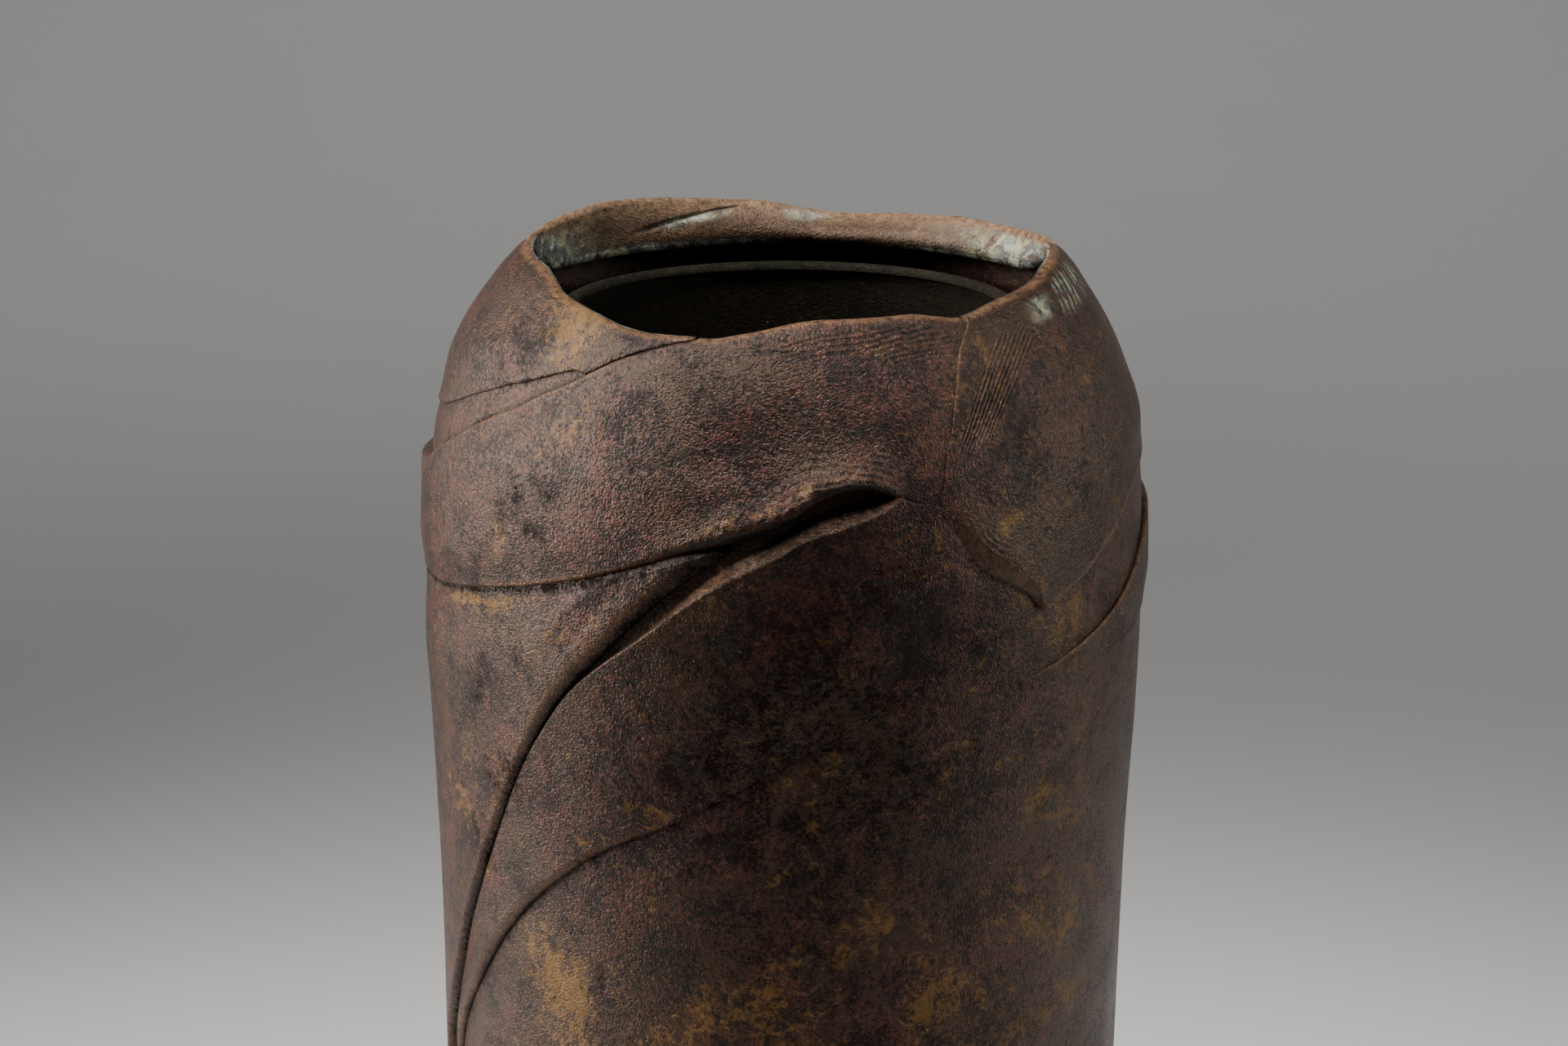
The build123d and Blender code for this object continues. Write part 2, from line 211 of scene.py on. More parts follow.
@dataclass(frozen=True)
class Lines:
    """The edges of all the sheets, which cover, tuck under and meet each other."""

    outline: Curve = Curve((
        (0.000, 1.000), (0.200, 1.020), (0.400, 1.041), (0.520, 1.055), (0.620, 1.063), (0.670, 1.070),
        (0.720, 1.080), (0.770, 1.092), (0.820, 1.105), (0.870, 1.117), (0.910, 1.123), (0.950, 1.124),
        (0.980, 1.119), (1.000, 1.113), (1.020, 1.104), (1.040, 1.091), (1.060, 1.066), (1.080, 1.036),
        (1.100, 1.005), (1.120, 0.965), (1.1325, 0.934), (1.145, 0.900), (1.155, 0.872), (1.165, 0.837),
        (1.175, 0.798), (1.185, 0.752)), FOOT_RADIUS)
    rim: Curve = heights(
        (-115, 1.181), (-100, 1.177), (-90, 1.175), (-66, 1.172), (-59, 1.1675), (-52, 1.160),
        (-45, 1.1555), (-38, 1.1505), (-32, 1.146), (-26, 1.144), (-15, 1.144), (-8, 1.148),
        (-4, 1.151), (1, 1.155), (7, 1.157), (15, 1.157), (24, 1.1575), (29, 1.155), (34, 1.152),
        (38, 1.1535), (43, 1.157), (50, 1.160), (56, 1.162), (63, 1.165), (70, 1.169), (90, 1.172),
        (103, 1.169), (116, 1.166), (126, 1.165), (139, 1.166), (147, 1.164), (157, 1.1625),
        (166, 1.160), (172, 1.1615), (180, 1.167), (188, 1.1725), (194, 1.174), (204, 1.1775),
        (210, 1.180), (220, 1.1825), (230, 1.184), (238, 1.181), (245, 1.179), (254, 1.175), (270, 1.175))
    band_top: Curve = heights(
        (38, 0.8835), (44, 0.8900), (50, 0.8980), (54, 0.9040), (62, 0.9170), (70, 0.9345), (76, 0.9500),
        (82, 0.9620), (90, 0.974), (110, 0.983), (150, 0.991), (200, 1.000), (240, 1.006), (265, 1.011),
        (280, 1.0175), (290, 1.0375), (300, 1.0615), (305, 1.0725), (311, 1.085), (315, 1.095), (319, 1.1025),
        (322.6, 1.111), (326, 1.119), (329, 1.1255), (333, 1.132), (338, 1.1385), (343, 1.143))
    band_low: Curve = heights(
        (38, 0.8775), (56, 0.886), (75, 0.893), (100, 0.898), (150, 0.905), (200, 0.912), (250, 0.920),
        (280, 0.927), (291, 0.930), (300, 0.9365), (309, 0.945), (317, 0.9535), (323, 0.961),
        (329, 0.969), (335, 0.9785), (340, 0.987), (343, 0.9920), (346.4, 0.9970), (349, 1.0010),
        (353, 1.0080), (358, 1.0150), (361, 1.0225), (365, 1.0350), (369, 1.0410), (372, 1.0415),
        (374.5, 1.0380), (377, 1.0325), (380, 1.0290), (383, 1.0265))
    seam: Curve = heights((382, 1.0265), (384, 1.0420), (385, 1.0605), (386.8, 1.0785), (388.4, 1.0995),
                          (391.4, 1.129), (395.5, 1.149))
    neck_low: Curve = heights(
        (22.5, 1.022), (23.8, 1.007), (25.7, 0.997), (28.4, 0.9825), (31.8, 0.970), (35.3, 0.9605),
        (38.2, 0.9525), (40.2, 0.9440), (41.3, 0.9370), (42.4, 0.9365), (45.4, 0.9430), (50, 0.9510),
        (54, 0.9595), (58.5, 0.9715), (63, 0.9815), (68, 0.9960), (74, 1.0070), (82, 1.014), (100, 1.023),
        (140, 1.031), (180, 1.036), (220, 1.041), (255, 1.048), (278, 1.0555), (296, 1.080),
        (305, 1.0935), (310, 1.0995), (316, 1.1085), (320, 1.1135))
    neck_joint: Curve = heights((157, 1.040), (160, 1.075), (163, 1.105), (166, 1.135), (169, 1.158))
    left_low: Curve = heights(
        (256, 0.020), (259, 0.130), (263, 0.260), (268, 0.380), (274, 0.480), (279.6, 0.543),
        (285.4, 0.580), (289, 0.610), (295, 0.660), (301.4, 0.709), (307.2, 0.754), (314.2, 0.810),
        (320.4, 0.854), (325.5, 0.884), (332, 0.915), (336.7, 0.939), (343, 0.967), (349, 0.989),
        (352, 0.999), (355, 1.009), (358, 1.018), (361, 1.027))
    left_back: Curve = heights((150, 0.040), (155, 0.150), (160, 0.290), (166, 0.480), (171, 0.670),
                               (175, 0.830), (178, 0.925))
    front_low: Curve = heights(
        (-84, 0.503), (-80, 0.529), (-74, 0.564), (-69.7, 0.5865), (-64, 0.614), (-58, 0.645),
        (-51, 0.6785), (-45, 0.705), (-39, 0.727), (-32.5, 0.750), (-26.5, 0.766), (-20.5, 0.780),
        (-14, 0.797), (-1.5, 0.8330), (8.5, 0.861), (16, 0.882), (20, 0.893), (24, 0.904), (28, 0.914),
        (31.5, 0.9205), (35.2, 0.927), (40.4, 0.937), (46, 0.947))
    front_lip: Curve = heights(
        (-64, 0.662), (-58.6, 0.705), (-52.8, 0.750), (-45.8, 0.806), (-39.6, 0.849), (-34.5, 0.8800),
        (-28, 0.9075), (-22.5, 0.9280), (-16, 0.9535), (-10, 0.9735), (-5, 0.9870), (-2, 0.9945),
        (2.5, 1.0075), (7, 1.0145), (11, 1.021), (14.5, 1.0275), (17, 1.035), (19, 1.040))
    front_back: Curve = heights(
        (-84, 0.515), (-80, 0.555), (-74, 0.597), (-65, 0.676), (-56, 0.748), (-51, 0.790),
        (-46, 0.828), (-40, 0.870), (-34.5, 0.900), (-28, 0.930), (-22, 0.958), (-16, 0.986),
        (-10, 1.018), (-5, 1.037), (0, 1.046), (5, 1.058), (10, 1.064), (16, 1.062), (20, 1.052),
        (23, 1.040), (27, 1.017), (33, 0.994), (38, 0.980), (42, 0.970), (46, 0.962))

    def rim_at(self, angle: Grid) -> Grid:
        """Height of the mouth's edge at any wrap angle."""
        return self.rim((np.asarray(angle) + 90) % 360 - 90)


LINES = Lines()
# How far the left shoulder is fuller than the right one, at which heights, and where the mouth turns true
LEAN = 0.42
LEAN_REACH = Reach(160, 190, 224, 234)
EVEN_MOUTH = (222, 232)
# Wrap angles at which the band and the neck's right half start
BAND_START = 38
NECK_START = 22


def spread_points(angle: Grid, radius: Grid, height: Grid) -> Grid:
    """Points in millimetres from wrap angle, radius and height."""
    turn = np.radians(angle)
    return np.stack([radius * np.sin(turn), -radius * np.cos(turn), height], -1)


def level_outward(points: Grid) -> Grid:
    """The level direction away from the vessel's axis at each point."""
    return points * np.array([1, 1, 0]) / np.linalg.norm(points[..., :2], axis=-1)[..., None]


def ground(angle: Grid, height: Grid) -> Grid:
    """Radius of the surface that all the sheets lie on.

    Args:
        angle: wrap angles.
        height: heights in millimetres.

    Returns:
        The trunk's outer radius there, slightly fuller on the left shoulder and gently uneven.
    """
    radius = LINES.outline(height / SHOULDER_HEIGHT)
    lean = LEAN * np.sin(np.radians(angle)) * LEAN_REACH(height)
    place = spread_points(angle, radius, height)
    uneven = 0.16 * Grain(3)(place, 31.0) + 0.07 * Grain(4)(place, 13.0)
    return radius - lean + uneven * (1 - ease(height, *EVEN_MOUTH))


@dataclass
class Section:
    """What a sheet's rules are asked about: a grid of places on it.

    Wrap angles are in degrees, all else in millimetres. from_low and from_high are the distances
    from the sheet's two edges along its surface, and place holds the points themselves.
    """

    angle: Grid
    height: Grid
    from_low: Grid
    from_high: Grid
    place: Grid


# Clouds in the patina: wrap angle, height, how far they reach in degrees and in millimetres, strength
OCHRE_CLOUDS = (
    (-44, 227, 6, 4.5, 0.8), (-37, 218.5, 3.0, 2.6, 0.7), (36.6, 227, 2.0, 2.2, 0.7),
    (38.5, 200, 3.5, 3.0, 0.7),
    (-37, 128, 9, 9, 0.8), (-20, 122, 12, 8, 0.75), (-2, 130, 9, 8, 0.6), (12, 142, 8, 6, 0.55),
    (24, 128, 9, 12, 0.6), (49, 150, 8, 40, 0.55), (27, 178, 5, 4, 0.5), (36, 187, 5, 5, 0.45),
    (5, 158, 8, 7, 0.45), (-58, 150, 8, 14, 0.4), (0, 95, 30, 20, 0.6),
    (60, 80, 24, 26, 0.5), (-60, 70, 20, 30, 0.5), (120, 150, 26, 30, 0.4), (170, 190, 20, 10, 0.5),
    (215, 120, 22, 34, 0.5), (250, 218, 12, 6, 0.5), (150, 60, 30, 20, 0.5),
)
DARK_CLOUDS = (
    (0, 172, 26, 30, 0.9), (-2, 142, 16, 16, 0.6), (12, 195, 14, 9, 0.8), (-6, 214, 12, 8, 0.5),
    (20, 214, 7, 9, 0.45), (12, 110, 18, 30, 0.55), (-52, 192, 8, 8, 0.35), (96, 120, 16, 50, 0.5),
    (180, 140, 24, 40, 0.5), (262, 120, 14, 40, 0.5), (-45, 205, 3.8, 3.2, 0.75), (-38, 208, 3.2, 3, 0.65),
    (-52, 201, 3.5, 3.5, 0.7), (-42, 198, 3.4, 3.2, 0.75), (-56, 172, 3.5, 4.5, 0.7),
    (-49, 163, 3.8, 5, 0.75), (-57, 150, 3.5, 6, 0.65),
    (-62, 186, 3, 3, 0.5), (-47, 181, 3, 3, 0.45), (40, 214, 6, 6, 0.45), (50, 204, 5, 5, 0.4),
    (-24, 216, 6, 4, 0.35), (30, 206, 4, 4, 0.4), (-58, 224, 14, 6, 0.5), (-32, 226, 8, 4, 0.4),
    (-16, 222, 9, 6, 0.4), (-20, 207, 8, 6, 0.35),
)


def clouds(spots: tuple[tuple[float, ...], ...], s: Section) -> Grid:
    """How strongly a row of clouds tints each place of a section."""
    total = np.zeros(s.height.shape)
    wobble_angle = s.angle + 5.0 * Grain(11)(s.place, 11.0) + 2.0 * Grain(12)(s.place, 4.0)
    wobble_height = s.height + 4.0 * Grain(13)(s.place, 11.0) + 1.6 * Grain(14)(s.place, 4.0)
    for angle, height, wide, tall, strength in spots:
        turn = (wobble_angle - angle + 180) % 360 - 180
        total = np.maximum(total, strength * bell(turn, 0, wide) * bell(wobble_height, height, tall))
    return total


def smooth(angles: Grid, values: Grid, reach: float) -> Grid:
    """The values averaged over the angles within reach."""
    return np.mean([np.interp(angles + reach * step / 4, angles, values) for step in range(-4, 5)], axis=0)


@dataclass
class Sheet:
    """One thin curved sheet between a low and a high edge, as a closed mesh.

    The face has as many rows of points as rows says and the back as many as inside_rows; stretches
    says how close its columns stand. The face's rows crowd towards both edges by the share crowd, so
    that lips and chamfers are crisp. With fine_from set, the share coarse_rows of them is spread below
    that share of the height. Between the two distances in blend, from_low stops following the low
    edge's small turns. The mesh carries a share for each of MARKS, which the finish reads.
    """

    name: str = "sheet"
    stretches: Stretches = ((0, 90, 1.0),)
    rows: int = 110
    inside_rows: int = 14
    crowd: float = 0.86
    coarse_rows: float = 0.26
    fine_from: float = 0.0
    blend: tuple[float, float] = (2.0, 8.0)
    closed_ring: bool = False

    def low(self, angle: Grid) -> Grid:
        """Height of the low edge at each wrap angle."""
        return np.full_like(angle, TRUNK_BOTTOM)

    def high(self, angle: Grid) -> Grid:
        """Height of the high edge at each wrap angle."""
        return np.full_like(angle, TRUNK_TOP)

    def face(self, s: Section) -> Grid:
        """Outer radius at each place."""
        return ground(s.angle, s.height)

    def back(self, s: Section) -> Grid:
        """Inner radius at each place."""
        return LINES.outline(s.height / SHOULDER_HEIGHT) - WALL

    def marks(self, s: Section) -> dict[str, Grid]:
        """The shares that the face carries, by name; a name that ends in _back is for the back."""
        return {}

    def section(self, count: int, fine_from: float = 0.0) -> Section:
        """Lays a grid of places over the sheet.

        Args:
            count: how many places go across the sheet.
            fine_from: the share of the height below which the first few rows are spread out, or 0.

        Returns:
            The grid, with each place's distance from the two edges along the surface.
        """
        angles = ramps(*self.stretches)
        low, high = self.low(angles), self.high(angles)
        radius = LINES.outline((low + high) / 2 / SHOULDER_HEIGHT)
        along = np.gradient(np.radians(angles)) * radius
        lean_low = smooth(angles, 1 / np.sqrt(1 + (np.gradient(low) / along) ** 2), 1.5)
        lean_high = smooth(angles, 1 / np.sqrt(1 + (np.gradient(high) / along) ** 2), 1.5)
        even = np.linspace(0, 1, count)
        share = (1 - self.crowd) * even + self.crowd * (1 - np.cos(np.pi * even)) / 2
        if fine_from:
            share = np.interp(even, [0, self.coarse_rows, 1], [0, fine_from, 1])
        height = low[:, None] + (high - low)[:, None] * share
        angle = np.broadcast_to(angles[:, None], height.shape)
        rise = np.gradient(LINES.outline(height / SHOULDER_HEIGHT), axis=1)
        run = np.maximum(np.gradient(height, axis=1), 1e-6)
        stretch = np.sqrt(1 + np.clip(rise / run, -3, 3) ** 2)
        far = ease(height - low[:, None], *self.blend)
        blurred = smooth(angles, low, 4.0)
        from_low = (height - low[:, None] * (1 - far) - blurred[:, None] * far) * lean_low[:, None] * stretch
        from_high = (high[:, None] - height) * lean_high[:, None] * stretch
        place = spread_points(angle, LINES.outline(height / SHOULDER_HEIGHT), height)
        return Section(angle, height, from_low, from_high, place)

    def build(self) -> bpy.types.Object:
        """Makes the sheet's mesh.

        Returns:
            The new object, at the origin, with its mesh in metres.
        """
        front, rear = self.section(self.rows, self.fine_from), self.section(self.inside_rows)
        outer_radius, inner_radius = self.face(front), self.back(rear)
        outer = spread_points(front.angle, outer_radius, front.height)
        inner = spread_points(rear.angle, inner_radius, rear.height)[:, ::-1]
        loop = np.concatenate([outer, inner], axis=1)
        marks = self.marks(front)
        shades = {}
        marks["ochre"] = np.maximum(marks.get("ochre", 0.0), clouds(OCHRE_CLOUDS, front))
        marks["dark"] = clouds(DARK_CLOUDS, front)
        for key in MARKS:
            value = np.broadcast_to(marks.get(key, 0.0), front.height.shape)
            tail = np.broadcast_to(np.clip(marks.get(key + "_back", 0.0), 0, 1), rear.height.shape)
            shades[key] = np.concatenate([value, tail[:, ::-1]], axis=1)
        return mesh_from_loops(self.name, loop, shades, Finish.PATINA, self.closed_ring)


def mesh_from_loops(name: str, loop: Grid, shades: dict[str, Grid], finish: Finish,
                    closed_ring: bool = False) -> bpy.types.Object:
    """Skins a row of closed loops.

    Args:
        name: the new object's name.
        loop: points in millimetres, sections by points round a section by 3.
        shades: a share for each point, for the finish to read.
        finish: which finish the mesh gets.
        closed_ring: whether the last section joins the first.

    Returns:
        The new object.
    """
    rows, columns = loop.shape[:2]
    index = np.arange(rows * columns).reshape(rows, columns)
    here, beside = index, np.roll(index, -1, axis=1)
    if closed_ring:
        ahead, ahead_beside = np.roll(here, -1, axis=0), np.roll(beside, -1, axis=0)
    else:
        here, beside, ahead, ahead_beside = here[:-1], beside[:-1], here[1:], beside[1:]
    quads = np.stack([here, ahead, ahead_beside, beside], -1).reshape(-1, 4)
    faces = quads.tolist()
    if not closed_ring:
        faces += [index[0].tolist(), index[-1][::-1].tolist()]
    mesh = bpy.data.meshes.new(name)
    mesh.from_pydata((loop.reshape(-1, 3) * MM).tolist(), [], faces)
    for key in MARKS:
        value = np.broadcast_to(shades.get(key, 0.0), loop.shape[:2])
        layer = mesh.attributes.new(key, "FLOAT", "POINT")
        layer.data.foreach_set("value", np.clip(value, 0, 1).astype(np.float32).ravel())
    mesh.polygons.foreach_set("use_smooth", np.ones(len(mesh.polygons), dtype=bool))
    mesh.update()
    piece = bpy.data.objects.new(name, mesh)
    bpy.context.scene.collection.objects.link(piece)
    mesh.materials.append(FINISHES[finish])
    return piece


def rounded(distance: Grid, width: float | Grid) -> Grid:
    """The share of its thickness that a sheet has near a rounded edge."""
    t = np.clip(distance / width, 0.0, 1.0)
    return np.sqrt(np.clip(1 - (1 - t) ** 2, 0.0, 1.0))


# How far the neck sheets' top is sunk under the turned-in lips, and round which wrap angles
UNDER_COLLARS = 1.3
COLLARS = Reach(97, 103, 256, 262)


def neck_top(angle: Grid) -> Grid:
    """The neck sheets' top: the mouth's edge, sunk where the turned-in lips cover it."""
    return LINES.rim_at(angle) - UNDER_COLLARS * COLLARS(angle)


def mouth_roll(distance: Grid) -> Grid:
    """The share of its thickness that a sheet has near the mouth, where it rolls over inwards."""
    return 1 - 0.55 * (1 - rounded(distance, 2.4)) - 0.45 * (1 - rounded(distance, 0.5))


def ramps(*stretches: tuple[float, float, float]) -> Grid:
    """Angles along stretches of (start, end, step)."""
    parts = [np.array([stretches[0][0]])]
    for start, end, step in stretches:
        count = max(1, math.ceil((end - start) / step))
        parts.append(start + (end - start) * (np.arange(count) + 1) / count)
    return np.concatenate(parts)


FINISHES: dict[Finish, bpy.types.Material] = {}


@dataclass
class Shader:
    """A short way to write a material's nodes."""

    material: bpy.types.Material
    nodes: bpy.types.Nodes = field(init=False)
    links: bpy.types.NodeLinks = field(init=False)

    def __post_init__(self) -> None:
        """Starts from an empty tree."""
        self.material.use_nodes = True
        self.nodes = self.material.node_tree.nodes
        self.links = self.material.node_tree.links
        self.nodes.clear()

    def add(self, kind: str, **settings: object) -> bpy.types.Node:
        """Adds a node and sets its properties."""
        node = self.nodes.new(kind)
        for key, value in settings.items():
            setattr(node, key, value)
        return node

    def feed(self, socket: bpy.types.NodeSocket, value: object) -> None:
        """Links an output to a socket, or sets the socket's own value."""
        if isinstance(value, bpy.types.NodeSocket):
            self.links.new(value, socket)
        else:
            socket.default_value = value

    def attribute(self, name: str) -> bpy.types.NodeSocket:
        """A share that the mesh carries."""
        return self.add("ShaderNodeAttribute", attribute_name=name).outputs["Fac"]

    def math(self, operation: str, one: object, other: object = 0.0,
             clamp: bool = False) -> bpy.types.NodeSocket:
        """One sum on one or two values."""
        node = self.add("ShaderNodeMath", operation=operation, use_clamp=clamp)
        self.feed(node.inputs[0], one)
        self.feed(node.inputs[1], other)
        return node.outputs[0]

    def times(self, one: object, other: object) -> bpy.types.NodeSocket:
        """One value times another."""
        return self.math("MULTIPLY", one, other)

    def sum(self, *parts: tuple[bpy.types.NodeSocket, float]) -> bpy.types.NodeSocket:
        """Adds up sockets, each times its weight."""
        total: object = 0.0
        for socket, weight in parts:
            total = self.math("ADD", total, self.times(socket, weight))
        return total

    def noise(self, scale: float, detail: float = 4.0, rough: float = 0.6,
              distort: float = 0.0) -> bpy.types.NodeSocket:
        """Noise in the object's own space; scale is lumps to the metre."""
        node = self.add("ShaderNodeTexNoise")
        self.feed(node.inputs["Vector"], self.place())
        settings = {"Scale": scale, "Detail": detail, "Roughness": rough, "Distortion": distort}
        for key, value in settings.items():
            node.inputs[key].default_value = value
        return node.outputs["Fac"]

    def place(self) -> bpy.types.NodeSocket:
        """The object's own coordinates."""
        return self.add("ShaderNodeTexCoord").outputs["Object"]

    def window(self, value: object, low: float, high: float) -> bpy.types.NodeSocket:
        """A smooth step from 0 at low to 1 at high."""
        node = self.add("ShaderNodeMapRange", interpolation_type="SMOOTHSTEP")
        self.feed(node.inputs["Value"], value)
        node.inputs["From Min"].default_value = low
        node.inputs["From Max"].default_value = high
        return node.outputs["Result"]

    def mix(self, share: object, under: object, over: object) -> bpy.types.NodeSocket:
        """Lays one colour over another by a share."""
        node = self.add("ShaderNodeMix", data_type="RGBA")
        self.feed(node.inputs["Factor"], share)
        self.feed(node.inputs["A"], under)
        self.feed(node.inputs["B"], over)
        return node.outputs["Result"]


def shade(tone: Tone, share: float = 1.0) -> tuple[float, float, float, float]:
    """A tone for a colour socket, darkened by a share."""
    return (tone[0] * share, tone[1] * share, tone[2] * share, 1.0)


# Tones that every bronze finish has in common
DEEP_SHADOW = (0.0085, 0.0030, 0.0018)
# Painted shade: the tone laid in hollows, slits, creases, nicks, under edges and over hidden backs
PAINTED_SHADE = (0.010, 0.0085, 0.0075)
BLUE_GREEN = (0.13, 0.155, 0.16)
YELLOW_GREEN = (0.40, 0.42, 0.27)
CHALK = (0.55, 0.58, 0.50)
DUST = (0.36, 0.30, 0.24)
SHEEN = (1.0, 0.80, 0.69)


@dataclass(frozen=True)
class Layers:
    """Where each layer lies, as shares that the colour and the surface are made from: the patina's own
    layers, worn places that also carry painted sheen, and painted shade.
    """

    cloud: bpy.types.NodeSocket
    grain: bpy.types.NodeSocket
    speck: bpy.types.NodeSocket
    slate: bpy.types.NodeSocket
    ochre: bpy.types.NodeSocket
    deep: bpy.types.NodeSocket
    painted_shade: bpy.types.NodeSocket
    wear_and_sheen: bpy.types.NodeSocket
    green: bpy.types.NodeSocket


@dataclass(frozen=True)
class BronzeFinish:
    """Mottled patina on bronze: red-brown and slate grains, ochre clouds, worn edges with painted sheen,
    green hollows, and painted shade in recesses and under edges.
    """

    name: str
    brown: Tone
    red: Tone
    slate: Tone
    ochre: Tone
    worn_and_sheen: Tone
    slate_from: float = 0.515
    roughness: float = 0.310
    metallic: float = 0.18
    bump: float = 0.75
    bump_height: float = 0.0005
    gloss: float = 0.55
    green_share: float = 1.0
    green_from: tuple[float, float] | None = None

    def build(self) -> bpy.types.Material:
        """Makes the material.

        Returns:
            The finished material.
        """
        material = bpy.data.materials.new(self.name)
        s = Shader(material)
        layers = self.layers(s)
        shader = s.add("ShaderNodeBsdfPrincipled")
        shader.inputs["Metallic"].default_value = self.metallic
        shader.inputs["Specular Tint"].default_value = shade(SHEEN)
        s.feed(shader.inputs["Base Color"], self.colour(s, layers))
        s.feed(shader.inputs["Roughness"], self.rough(s, layers))
        s.feed(shader.inputs["Specular IOR Level"], self.shine(s, layers))
        s.feed(shader.inputs["Normal"], self.relief(s, layers))
        output = s.add("ShaderNodeOutputMaterial")
        s.links.new(shader.outputs[0], output.inputs[0])
        return material

    def layers(self, s: Shader) -> Layers:
        """Spreads the patina's layers, from noise and from the shares that the mesh carries."""
        cloud = s.noise(36.0, 3.0, 0.6, 0.5)
        dark = s.attribute("dark")
        slate = s.sum((s.noise(1500.0, 3.0, 0.75, 0.8), 0.50), (s.noise(130.0, 4.0, 0.7, 0.5), 0.34),
                      (cloud, 0.16))
        slate = s.math("ADD", slate, s.times(dark, 0.045))
        ochre = s.sum((s.noise(520.0, 5.0, 0.8, 0.9), 0.6), (s.noise(90.0, 3.0, 0.6, 0.4), 0.4))
        ochre = s.math("ADD", ochre, s.times(s.attribute("ochre"), 0.15))
        deep = s.times(dark, s.window(s.noise(360.0, 5.0, 0.8, 0.6), 0.38, 0.58))
        grit = s.window(s.noise(1500.0, 3.0, 0.7), 0.38, 0.6)
        return Layers(
            cloud=cloud,
            grain=s.noise(1150.0, 3.0, 0.72, 0.3),
            speck=s.noise(3000.0, 2.0, 0.60),
            slate=s.window(slate, self.slate_from - 0.012, self.slate_from + 0.030),
            ochre=s.window(ochre, 0.555, 0.655),
            deep=s.times(deep, 0.8),
            # Painted shade from the mesh, broken up by grit, and worn places from the mesh, which also carry
            # painted sheen
            painted_shade=s.times(s.attribute("painted_shade"), s.math("ADD", s.times(grit, 0.3), 0.7)),
            wear_and_sheen=s.times(s.attribute("wear_and_sheen"), s.window(s.noise(800.0, 4.0, 0.75), 0.30, 0.66)),
            green=self.green(s),
        )

    def green(self, s: Shader) -> bpy.types.NodeSocket:
        """Where green lies: as the mesh says, or only above a height."""
        green = s.attribute("green")
        if self.green_from:
            height = s.add("ShaderNodeSeparateXYZ")
            s.feed(height.inputs[0], s.place())
            green = s.window(height.outputs["Z"], *self.green_from)
        green = s.times(green, s.window(s.noise(480.0, 5.0, 0.8, 0.7), 0.36, 0.60))
        return s.times(green, self.green_share)

    def colour(self, s: Shader, layers: Layers) -> bpy.types.NodeSocket:
        """Lays the tones over each other, from the ground up."""
        patch = s.noise(150.0, 5.0, 0.72, 0.6)
        redness = s.window(s.sum((layers.cloud, 0.5), (patch, 0.3), (layers.grain, 0.2)), 0.45, 0.58)
        colour = s.mix(redness, shade(self.brown), shade(self.red))
        tone = s.sum((layers.grain, 0.55), (layers.speck, 0.45))
        darker = s.mix(0.76, colour, shade(self.brown, 0.22))
        colour = s.mix(s.window(tone, 0.42, 0.58), darker, colour)
        colour = s.mix(s.times(layers.slate, 0.82), colour, shade(self.slate))
        colour = s.mix(s.times(layers.ochre, 0.8), colour, shade(self.ochre))
        colour = s.mix(layers.deep, colour, s.mix(0.60, colour, shade(DEEP_SHADOW)))
        # Painted shade, then worn places that also carry painted sheen
        colour = s.mix(layers.painted_shade, colour, shade(PAINTED_SHADE))
        colour = s.mix(layers.wear_and_sheen, colour, shade(self.worn_and_sheen))
        green = s.mix(s.window(s.noise(240.0, 3.0, 0.6), 0.42, 0.60), shade(BLUE_GREEN), shade(YELLOW_GREEN))
        green = s.mix(s.window(s.noise(700.0, 4.0, 0.75), 0.52, 0.66), green, shade(CHALK))
        colour = s.mix(layers.green, colour, green)
        dust = s.window(s.noise(3200.0, 1.0, 0.5), 0.785, 0.80)
        return s.mix(s.times(dust, 0.8), colour, shade(DUST))

    def rough(self, s: Shader, layers: Layers) -> bpy.types.NodeSocket:
        """How rough the patina is: uneven with the grain, rougher where it is corroded."""
        rough = s.math("ADD", s.times(layers.grain, 0.22), self.roughness - 0.11)
        rough = s.math("ADD", rough, s.times(layers.green, 0.35))
        rough = s.math("ADD", rough, s.times(layers.ochre, 0.10))
        return s.math("ADD", rough, s.times(layers.slate, 0.06))

    def shine(self, s: Shader, layers: Layers) -> bpy.types.NodeSocket:
        """How strongly the patina shines: less on slate, in the dark clouds and in the painted shade."""
        shine = s.math("SUBTRACT", self.gloss, s.times(layers.slate, 0.60 * self.gloss))
        shine = s.math("SUBTRACT", shine, s.times(layers.deep, 0.75 * self.gloss))
        return s.math("SUBTRACT", shine, s.times(layers.painted_shade, 0.60 * self.gloss), clamp=True)

    def relief(self, s: Shader, layers: Layers) -> bpy.types.NodeSocket:
        """The fine tooth of the surface."""
        fine = s.sum((layers.grain, 0.50), (layers.speck, 0.65), (s.noise(420.0, 3.0, 0.6), 0.10))
        bump = s.add("ShaderNodeBump")
        bump.inputs["Strength"].default_value = self.bump
        bump.inputs["Distance"].default_value = self.bump_height
        s.feed(bump.inputs["Height"], fine)
        return bump.outputs[0]


@dataclass(frozen=True)
class PlainFinish:
    """A matt surface for the studio's floor and backdrop, with a faint tooth."""

    name: str
    colour: Tone
    roughness: float = 0.9
    darkest: float = 0.96

    def build(self) -> bpy.types.Material:
        """Makes the material."""
        material = bpy.data.materials.new(self.name)
        s = Shader(material)
        shader = s.add("ShaderNodeBsdfPrincipled")
        tone = s.mix(s.noise(9.0, 3.0), shade(self.colour, self.darkest), shade(self.colour))
        s.feed(shader.inputs["Base Color"], tone)
        shader.inputs["Roughness"].default_value = self.roughness
        output = s.add("ShaderNodeOutputMaterial")
        s.links.new(shader.outputs[0], output.inputs[0])
        return material


